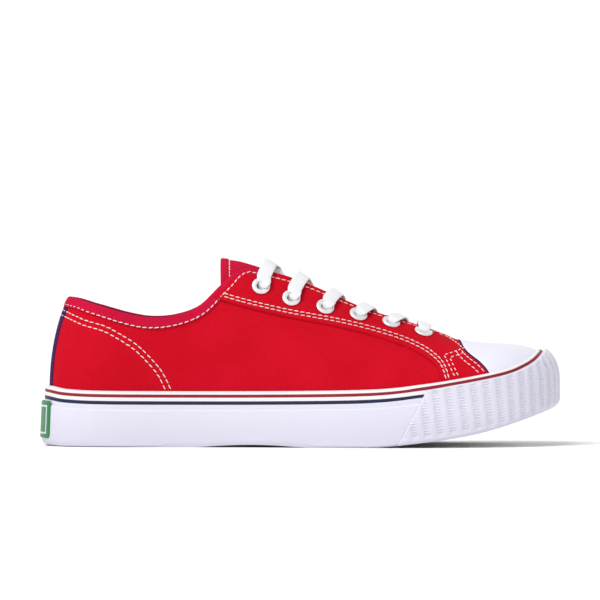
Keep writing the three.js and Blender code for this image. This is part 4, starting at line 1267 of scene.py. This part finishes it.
def make_stripe(name, look, drop_heel, drop_toe, width, proud, bumper_room):
    """Pinstripe: a thin raised line at a set drop below the foxing's top edge, all round or up to the
    bumper's slanted edge."""
    s, side, at, _ = ring(760)
    point, normal, run, top = climbing(s, side, GAP, 0.0)
    to_toe = smooth(station_x(s) / LENGTH, 0.6, 0.8)
    drop = mix(drop_heel, drop_toe, to_toe)[:, None]
    across = np.linspace(-1, 1, 7)[None, :]
    target = top[:, None] - drop + across * width / 2 * mix(1.0, 0.85, to_toe)[:, None]
    body, facing = read_along(point, run, target), unit(read_along(normal, run, target))
    patch = grid_patch(side_by_side(body, facing, at[:, None], across), wrap_rows=True)
    if bumper_room is not None:
        patch = kept(patch, behind_bumper, bumper_room)
    bow = TAPE_WALL + proud * np.sqrt(np.maximum(1 - patch[0][:, 7] ** 4, 0))
    made = sheet_piece(name, patch, bow, TAPE_WALL - 0.5, [look], angle=60)
    return settle(made, "white_rubber")


def make_bumper():
    """Toe bumper: a ribbed strip. Along the outline smooth ribs alternate with shallower columns cut
    by fine level grooves; both ease off towards the top and lower edges."""
    s, side, at, half_way = ring(880)
    x = station_x(s)
    ahead = x > 0.66 * LENGTH
    s, side, at = s[ahead], side[ahead], at[ahead]
    base = 2 * GAP + TAPE_WALL
    point, normal, run, top = climbing(s, side, base, STRIPE_BAND - 0.1)
    target = top[:, None] * np.linspace(0, 1, 84)[None, :]
    body = read_along(point, run, target)
    facing = unit(read_along(normal, run, target))
    along = np.abs(at - half_way)[:, None]
    lean = RIB_LEAN * smooth(along, 15, 80)
    climb = target - 3.0
    rib = (along + lean * (top[:, None] - target)) / RIB_PITCH
    phase = np.abs(rib - np.floor(rib) - 0.5) * RIB_PITCH
    column = 1 - smooth(phase, RIB_GROOVE / 2 - 0.3, RIB_GROOVE / 2 + 0.55)
    tick = 0.5 + 0.5 * np.cos(TURN * climb / TICK_PITCH)
    fade = smooth(climb, 0.2, 1.8) * smooth(top[:, None] - target, 0.4, 1.4)
    rise = RIB_RISE * (1 - column * fade) + column * fade * 0.5 * tick ** 1.5
    rise = rise * rolled(top[:, None] - target, 0.9)
    patch = grid_patch(side_by_side(body, facing, along, target, rise, top[:, None] - target))
    patch = kept(patch, ahead_of_bumper_edge)
    patch = lined(patch, ahead_of_bumper_edge, (0.1, 0.35, 0.8))
    p = patch[0]
    edge = rolled(ahead_of_bumper_edge(p), 0.9)
    outer = -0.2 + (BUMPER_WALL + 0.2) * np.minimum(edge, rolled(p[:, 9], 0.8)) + p[:, 8] * edge
    made = sheet_piece("toe_bumper_ribs", patch, outer, -0.35, [rubber_white], angle=70)
    return settle(made, "white_rubber", "toe_bumper")


def heel_patch(columns, rows):
    """Flat grid of width and height bent round the back of the foxing."""
    s = np.linspace(0, 0.25, 400)
    x, y = outline(s, 1.0)
    ax, ay = outward(s, 1.0)
    lift = 2 * GAP + BAND_WALL + SOLE_FLARE * 0.9
    x, y = x + ax * lift, y + ay * lift
    width = np.linspace(-LABEL_WIDTH / 2, LABEL_WIDTH / 2, columns)
    height = np.linspace(LABEL_BASE, LABEL_BASE + LABEL_HEIGHT, rows)
    w, h = np.meshgrid(width, height, indexing="ij")
    station = np.interp(np.abs(w), y, s)
    side = np.where(w < 0, -1.0, 1.0)
    foot_x, _ = outline(station, side)
    wall = INSTEP_HEIGHT * wall_share(foot_x / LENGTH)
    low = underside(foot_x) + EDGE_ROUND * tuck_share(foot_x / LENGTH)
    point, normal = skin(station, side, 1 + np.clip((h - low) / (wall - low), 0, 1))
    point = point + normal * (GAP + BAND_WALL)
    return grid_patch(side_by_side(point, normal, w, h))


def plate_edge(p):
    """Distance inside a round-cornered plate on the heel."""
    centre = LABEL_BASE + LABEL_HEIGHT / 2
    a = np.abs(p[:, 6]) - (LABEL_WIDTH / 2 - LABEL_CORNER)
    b = np.abs(p[:, 7] - centre) - (LABEL_HEIGHT / 2 - LABEL_CORNER)
    outside = np.hypot(np.maximum(a, 0), np.maximum(b, 0))
    return LABEL_CORNER - outside - np.minimum(np.maximum(a, b), 0)


def make_label():
    """Bare rubber plate on the heel with a raised white line inside its edge."""
    patch = heel_patch(77, 43)
    plate = kept(patch, plate_edge)
    plate = lined(plate, plate_edge, (0.1, 0.35, 0.8))
    lift = LABEL_WALL * rolled(plate_edge(plate[0]), 0.8)
    settle(sheet_piece("heel_label_plate", plate, GAP * 0.3 + lift, 0.0, [label_green]),
           "label_rubber", "heel_label")
    line = kept(patch, plate_edge, LABEL_LINE[0])
    line = kept(line, lambda p: LABEL_LINE[1] - plate_edge(p))
    settle(sheet_piece("heel_label_line", line, LABEL_WALL + 0.28, LABEL_WALL * 0.6, [rubber_white]),
           "label_rubber")


def plan_patch(step, normal_z, inset):
    """Flat grid of x and y inside the outline of the last, less an inset, with the distance inside."""
    s = np.linspace(0, 1, 240)
    halves = []
    for side in (-1.0, 1.0):
        x, y = outline(s, side)
        ax, ay = outward(s, side)
        off = SOLE_FLARE * flare_share(x / LENGTH) - inset
        halves.append(np.column_stack([x + ax * off, y + ay * off]))
    loop = np.vstack([halves[0], halves[1][::-1]])
    x = np.arange(HEEL_END - 4, TOE_END + 4, step)
    y = np.arange(-LAST_BALL * 0.56, LAST_BALL * 0.6, step)
    gx, gy = np.meshgrid(x, y, indexing="ij")
    point = np.stack([gx, gy, 0 * gx], -1)
    normal = np.broadcast_to([0, 0, normal_z], point.shape)

    def inside(p):
        return beside(p[:, 0], p[:, 1], loop)

    return kept(grid_patch(side_by_side(point, normal, gx, gy)), inside), inside


def zigzag_wave(turns):
    """Straight rise and fall between 0 and 1, once a turn; 1 at whole turns."""
    return np.abs(turns % 1 - 0.5) * 2


def make_outsole():
    """Rubber bottom: a flat rim, then slanted bars cut 1.2 mm deep, with smooth pads between."""
    patch, inside = plan_patch(0.9, -1.0, 0.3)
    patch = lined(patch, inside, (0.3, TREAD_RIM, TREAD_RIM + 0.8))
    p = patch[0]
    depth = inside(p)
    zigzag = TREAD_LEAN * zigzag_wave((p[:, 1] + 300) / TREAD_ZIGZAG)
    wave = zigzag_wave((p[:, 0] + zigzag) / TREAD_PITCH)
    bars = smooth(wave, 0.28, 0.5) * smooth(depth, TREAD_RIM, TREAD_RIM + 1.0)
    waist = smooth(p[:, 0] / LENGTH, 0.3, 0.34) * (1 - smooth(p[:, 0] / LENGTH, 0.48, 0.52))
    cut = TREAD_DEPTH * bars * (1 - 0.75 * waist) + 0.35 * (1 - smooth(depth, 0, 0.5))
    level = underside(p[:, 0])
    p = p.copy()
    p[:, 2] = 0
    top = level + sole_level(p[:, 0])
    made = sheet_piece("outsole_tread", (p, patch[1]), -(level + cut), -top, [rubber_sole], angle=35)
    return settle(made, "outsole_rubber", "outsole")


def make_insole():
    """Cloth-covered footbed: a shallow dish with a soft edge that meets the upper's wall."""
    patch, inside = plan_patch(2.2, 1.0, UPPER_WALL + GAP + SOLE_FLARE)
    patch = lined(patch, inside, (0.4, 1.2, 2.4))
    p = patch[0]
    depth = inside(p)
    level = underside(p[:, 0]) + sole_level(p[:, 0]) + GAP
    dish = 1.1 * np.exp(-(depth / 9) ** 2)
    top = level + INSOLE_WALL - 0.9 + dish - 1.0 * (1 - rolled(depth, 1.2))
    made = sheet_piece("insole_footbed", patch, top, level, [footbed_cloth], angle=60)
    return settle(made, "lining", "insole")


def tongue_sheet(r, c):
    """Top surface of the tongue: r runs from the standing end (0) to the front (1), c across."""
    x = mix(TONGUE_BACK, TONGUE_FRONT, r) * LENGTH
    half = TONGUE_HALF * mix(1, TONGUE_TAPER, r)
    pressed = smooth(x / LENGTH, PRESS_START, PRESS_END)
    room = mix(TONGUE_ROOM, 2 * GAP, pressed)
    sag = TONGUE_SAG * (1 - pressed)
    point, normal = spot(x, throat_axis * r + c * half)
    point = point + normal * -(UPPER_WALL + room)[..., None]
    point[..., 2] -= sag * (1 - c * c) ** 2
    return point, normal


def make_tongue():
    """Padded cloth tongue with a folded rim round its edge and a seam inside the rim."""
    r = np.concatenate([np.linspace(0, 0.05, 12), np.linspace(0.05, 1, 70)[1:]])
    c = np.linspace(-1, 1, 61)
    point, normal = tongue_sheet(*np.meshgrid(r, c, indexing="ij"))
    run = run_length(point[:, 30])
    girth = np.linalg.norm(np.diff(point, axis=1), axis=2)
    across = np.concatenate([np.zeros((len(r), 1)), np.cumsum(girth, 1)], 1)
    edge = np.minimum(run[:, None], np.minimum(across, across[:, -1:] - across))
    rim = 0.45 * (1 - smooth(edge, 4.3, 4.9)) - 0.3 * np.exp(-((edge - 5.0) / 0.5) ** 2)
    quilt = 0.3 * smooth(edge, 5, 12)
    patch = grid_patch(side_by_side(point, normal, run[:, None], across, edge))
    round_off = 1 - rolled(edge.ravel() + 0.02, 0.9)
    outer = (rim + quilt).ravel() - round_off * 0.9
    inner = -TONGUE_WALL + round_off * 0.9
    made = sheet_piece("tongue_cloth", patch, outer, inner, [binding_red, lining_painted_shade], angle=60,
                       lined_inside=True)
    settle(made, "tongue_cloth", "tongue")
    line = 5.0 / np.interp(0.1, r, run) * 0.1
    across_seam = tongue_sheet(np.full(90, line), np.linspace(-0.8, 0.8, 90))
    down = [tongue_sheet(np.linspace(line, 0.55, 120), np.full(120, side * 0.8)) for side in (-1, 1)]
    seams = [lift_line(seam, 0.2) for seam in [across_seam] + down]
    stitches("stitches_tongue", seams, pitch=2.2, long=2.0)


def make_eyelet(word, side, k):
    """Enamelled ring: a rolled flange profile turned round the eyelet's axis, with its barrel."""
    point, normal = eyelets[side][0][k], eyelets[side][1][k]
    axis = unit(normal + np.array([0, side * 0.14, 0.0]))
    seat = FLANGE_SEAT - 0.25
    depth = seat + UPPER_WALL + GAP / 2
    roll = np.linspace(-0.15, 1, 10) * math.pi
    middle, half = (EYELET_BORE + EYELET_RADIUS) / 2, (EYELET_RADIUS - EYELET_BORE) / 2
    flange = np.column_stack([middle + half * np.cos(roll), 0.1 + EYELET_FLANGE * np.sin(roll) * 0.9])
    inside = np.array([[EYELET_BORE, -0.6], [EYELET_BORE, -depth]])
    outside = np.array([[EYELET_BARREL, -depth], [EYELET_BARREL, -0.7], [EYELET_BARREL + 0.5, -0.35],
                        [EYELET_RADIUS - 0.5, -0.35]])
    profile = np.vstack([flange, inside, outside])
    a = unit(np.cross(axis, [0.3, 0.1, 0.9]))
    b = np.cross(axis, a)
    angle = np.arange(36) / 36 * TURN
    radial = np.cos(angle)[:, None] * a + np.sin(angle)[:, None] * b
    points = (point + axis * seat)[None, None] + radial[:, None] * profile[None, :, :1]
    points = (points + axis * profile[None, :, 1:]).reshape(-1, 3)
    quads = grid_faces(36, len(profile), wrap_rows=True, wrap_columns=True)
    quads = outward_faces(points, quads)
    made = finish_mesh(f"eyelet_ring_{word}_{k + 1}", points, quads, looks=[enamel], angle=60)
    return settle(made, "eyelet_metal", f"eyelet_{word}_{k + 1}")


def curve_through(rows, count):
    """Catmull-Rom curve through rows of values, read evenly along its first three columns."""
    u = np.linspace(0, len(rows) - 1, 14 * len(rows))
    fine = catmull(rows, 2 * rows[0] - rows[1], 2 * rows[-1] - rows[-2], u)
    run = run_length(fine[:, :3])
    return resampled(fine[:, :3], fine, np.linspace(0, run[-1], count))


def lace_strand(name, near, far, dives, nodes):
    """One stretch of lace: up out of the near eyelet, over its flange and across the throat, then under
    the far facing to below the far eyelet, or down into it for the bar. Rows of the path hold point,
    normal, width and thickness."""
    (a, an), (b, bn) = near, far
    way = b - a
    far_side = np.sign(b[1])
    rows = []

    def eyelet_rows(point, normal, direction):
        heights = ((-3.2, 0.0, 4.5, 1.9), (0.2, 0.1, 4.7, 1.8), (FLANGE_SEAT + 0.35, 0.5, 5.4, 1.6),
                   (FLANGE_SEAT + EYELET_FLANGE + 0.75, 2.0, 7.0, 1.3))
        return [np.concatenate([point + normal * h + direction * d, normal, [w, thick]])
                for h, d, w, thick in heights]

    flat_way = unit(way - an * (way @ an))
    rows += eyelet_rows(a, an, flat_way)
    t = np.linspace(0, 1, 41)
    x, y = mix(a[0], b[0], t), mix(a[1], b[1], t)
    base, normal = spot(x, y)
    half = throat_half(x)
    opened = 1 - smooth(np.abs(y), half * 0.6, half * 1.1)
    beneath = -UPPER_WALL - 3 * GAP - LACE_WALL / 2
    down = smooth(far_side * y, -half, half - 0.7 * LACE_WIDTH) if dives else np.zeros(len(t))
    lift = mix(LACE_SEAT - 0.15, beneath, down) - (0 if dives else LACE_SAG * opened)
    gone = np.linalg.norm(base - a, axis=1)
    left = np.linalg.norm(base - b, axis=1)
    chosen = (gone > 4.6) & (left > (1.5 if dives else 4.6))
    for k in np.flatnonzero(chosen)[::3]:
        rows.append(np.concatenate([base[k] + normal[k] * lift[k], normal[k], [LACE_WIDTH, LACE_WALL]]))
    if dives:
        rows.append(np.concatenate([b + bn * (beneath + 0.1), bn, [6.0, 1.2]]))
    else:
        back_way = unit(-way + bn * (way @ bn))
        rows += eyelet_rows(b, bn, back_way)[::-1]
    path = curve_through(np.array(rows), 90)
    centre, normal = path[:, :3], unit(path[:, 3:6])
    across = unit(np.cross(way, normal))
    ahead = unit(np.gradient(centre, axis=0))
    across = unit(across - ahead * np.sum(across * ahead, 1, keepdims=True))
    up = unit(np.cross(across, ahead))
    flip = np.sum(up[len(up) // 2] * normal[len(up) // 2]) < 0
    up = -up if flip else up
    profile = oval(18)[None] * path[:, None, 6:8]
    made = swept(name, centre, across, up, profile, [lace_white])
    return settle(made, "lace", *nodes)


def make_lace():
    """Lace from the bar at the toe end to the top eyelets, crossing by crossing."""
    ends = {side: list(zip(*eyelets[side])) for side in (-1, 1)}
    count = len(EYELET_ROW["at"])
    lace_strand("lace_bar_front", ends[-1][count - 1], ends[1][count - 1], False, ["lace_bar"])
    for k in range(count - 1):
        lace_strand(f"lace_{k + 1}_from_lateral", ends[-1][k], ends[1][k + 1], True,
                    [f"lace_crossing_{k + 1}"])
        lace_strand(f"lace_{k + 1}_from_medial", ends[1][k], ends[-1][k + 1], True, [])


def make_seams():
    """All visible stitching of the upper, drawn on both sides."""
    collar, stay, counter, cap, strip = [], [], [], [], []
    for side in (-1, 1):
        line, normal = heel_seam(collar_seam, side)
        on_stay = smooth(line[:, 0] / LENGTH, 0.33, 0.36)
        lift = mix(GAP + BINDING_WALL * 0.75 + 0.12, GAP + OVERLAY + 0.05, on_stay)
        collar.append(lift_line((line, normal), lift[:, None]))
        for line in eyestay_seams:
            visible = above_line(part_of(line, 0.352 * LENGTH, LENGTH), foxing_line, SEAM_ROOM)
            stay.append(lift_line(side_seam(visible, side), GAP + OVERLAY - 0.02))
        beside_throat = throat_seam(throat_mouth - COLLAR_SEAM_FRONT, throat_tip - 1, side)
        stay.append(lift_line(beside_throat, GAP + OVERLAY))
        end, _ = on_side(VAMP_SEAM["at"] * LENGTH, VAMP_SEAM["up"] * TOE_HEIGHT, side)
        x = np.linspace(throat_tip + TIP_SEAM / 2, end[0], 40)
        y = np.linspace(throat_axis + side * TIP_SEAM * 0.87, end[1], 40)
        stay.append(lift_line(spot(x, y), GAP + OVERLAY))
        for line in counter_seams:
            line, normal = heel_seam(above_line(line, foxing_line, 0.6), side)
            on_tape = 1 - smooth(np.abs(line[:, 1]), STAY_WIDTH / 2, STAY_WIDTH / 2 + 1.5)
            lift = mix(-0.02, GAP * 0.5 + STAY_WALL, on_tape)
            counter.append(lift_line((line, normal), lift[:, None]))
        for line in cap_seams:
            visible = above_line(line[line[:, 1] < CAP_SEAM_TOP], foxing_line, SEAM_ROOM)
            cap.append(lift_line(side_seam(visible, side), GAP + OVERLAY - 0.02))
        for at, up, to_at, to_up in zip(*STRIP_SEAM.values()):
            x, z = np.linspace(at, to_at, 30) * LENGTH, np.linspace(up, to_up, 30) * TOE_HEIGHT
            visible = above_line(np.column_stack([x, z]), foxing_line, SEAM_ROOM)
            strip.append(lift_line(side_seam(visible, side), GAP + OVERLAY))
    angle = np.linspace(-1.5, 1.5, 40)
    tip = spot(throat_tip + TIP_SEAM * np.cos(angle), throat_axis + TIP_SEAM * np.sin(angle))
    stay.append(lift_line(tip, GAP + OVERLAY))
    stitches("stitches_collar", collar)
    stitches("stitches_eyestay", stay)
    stitches("stitches_counter", counter)
    stitches("stitches_toe_cap", cap, TOE_STITCH_PITCH, TOE_STITCH_LONG)
    stitches("stitches_toe_strip", strip, TOE_STITCH_PITCH, TOE_STITCH_LONG)


# The picture

VIEW_DISTANCE = 4.0
VIEW_HEIGHT = 0.138
FRAME_WIDTH = 0.340
CENTRE_HEIGHT = 0.0822
SENSOR = 36.0
ROOM_LIGHT = 0.5
WALL_LIGHT = 1.02
KEY_FROM = (-0.9, -1.1, 1.75)
KEY_STRENGTH = 2.3
KEY_SPREAD = 38


def make_camera():
    """Level camera on the lateral side; the small vertical shift frames the shoe as in the photo."""
    data = bpy.data.cameras.new("view")
    camera = bpy.data.objects.new("view", data)
    bpy.context.scene.collection.objects.link(camera)
    data.sensor_width = SENSOR
    data.lens = SENSOR * VIEW_DISTANCE / FRAME_WIDTH
    data.clip_end = 60
    data.shift_y = (CENTRE_HEIGHT - VIEW_HEIGHT) / FRAME_WIDTH
    camera.location = (0.0, -VIEW_DISTANCE, VIEW_HEIGHT)
    camera.rotation_euler = (math.pi / 2, 0, 0)
    bpy.context.scene.camera = camera


def area_light(name, place, aim, size, power):
    """A square soft light turned towards a point."""
    data = bpy.data.lights.new(name, "AREA")
    data.size = size
    data.energy = power
    light = bpy.data.objects.new(name, data)
    light.location = place
    light.rotation_euler = (Vector(aim) - Vector(place)).to_track_quat("-Z", "Y").to_euler()
    bpy.context.scene.collection.objects.link(light)


def sun_light(name, place, strength, spread):
    """A wide, even light from one direction; the spread is its apparent size in degrees."""
    data = bpy.data.lights.new(name, "SUN")
    data.energy = strength
    data.angle = math.radians(spread)
    light = bpy.data.objects.new(name, data)
    light.location = place
    light.rotation_euler = (-Vector(place)).to_track_quat("-Z", "Y").to_euler()
    bpy.context.scene.collection.objects.link(light)


def make_stage():
    """Plain pale floor and soft studio light."""
    size = 12.0
    corners = [(-size, -size, 0), (size, -size, 0), (size, size, 0), (-size, size, 0)]
    mesh = bpy.data.meshes.new("floor")
    mesh.from_pydata(corners, [], [(0, 1, 2, 3)])
    floor = bpy.data.objects.new("floor", mesh)
    bpy.context.scene.collection.objects.link(floor)
    mesh.materials.append(looks_base("floor_white", (0.97, 0.97, 0.97), 0.9, 0.0)[0])
    world = bpy.data.worlds.new("studio")
    world.use_nodes = True
    tree = world.node_tree
    backdrop = tree.nodes["Background"]
    backdrop.inputs[1].default_value = 1.0
    parts = node(tree, "SeparateXYZ", {0: node(tree, "TexCoord").outputs["Generated"]})
    behind = node(tree, "MapRange", {"Value": parts.outputs[1], "From Min": 0.35, "From Max": 0.85,
                                     "To Min": ROOM_LIGHT, "To Max": WALL_LIGHT})
    tree.links.new(behind.outputs[0], backdrop.inputs[0])
    bpy.context.scene.world = world
    sun_light("key", KEY_FROM, KEY_STRENGTH, KEY_SPREAD)
    area_light("fill", (1.3, -1.3, 0.7), (0.05, 0, 0.05), 1.4, 2)
    bpy.context.scene.view_settings.view_transform = "Standard"


make_camera()
make_stage()
whole_last = facing_out(last_patch(300, 7, 46, 1.15))
make_upper(whole_last)
make_eyestay(whole_last)
make_cap(whole_last)
make_piping(whole_last)
make_stay(whole_last)
make_binding()
make_foxing()
make_stripe("stripe_red_line", stripe_red, 2.7, 2.4, 1.75, 0.16, None)
make_stripe("stripe_navy_line", stripe_navy, 6.6, 6.2, 2.0, 0.14, 0.4)
make_bumper()
make_label()
make_outsole()
make_insole()
make_tongue()
for word, side in (("lateral", -1), ("medial", 1)):
    for k in range(len(EYELET_ROW["at"])):
        make_eyelet(word, side, k)
make_lace()
make_seams()
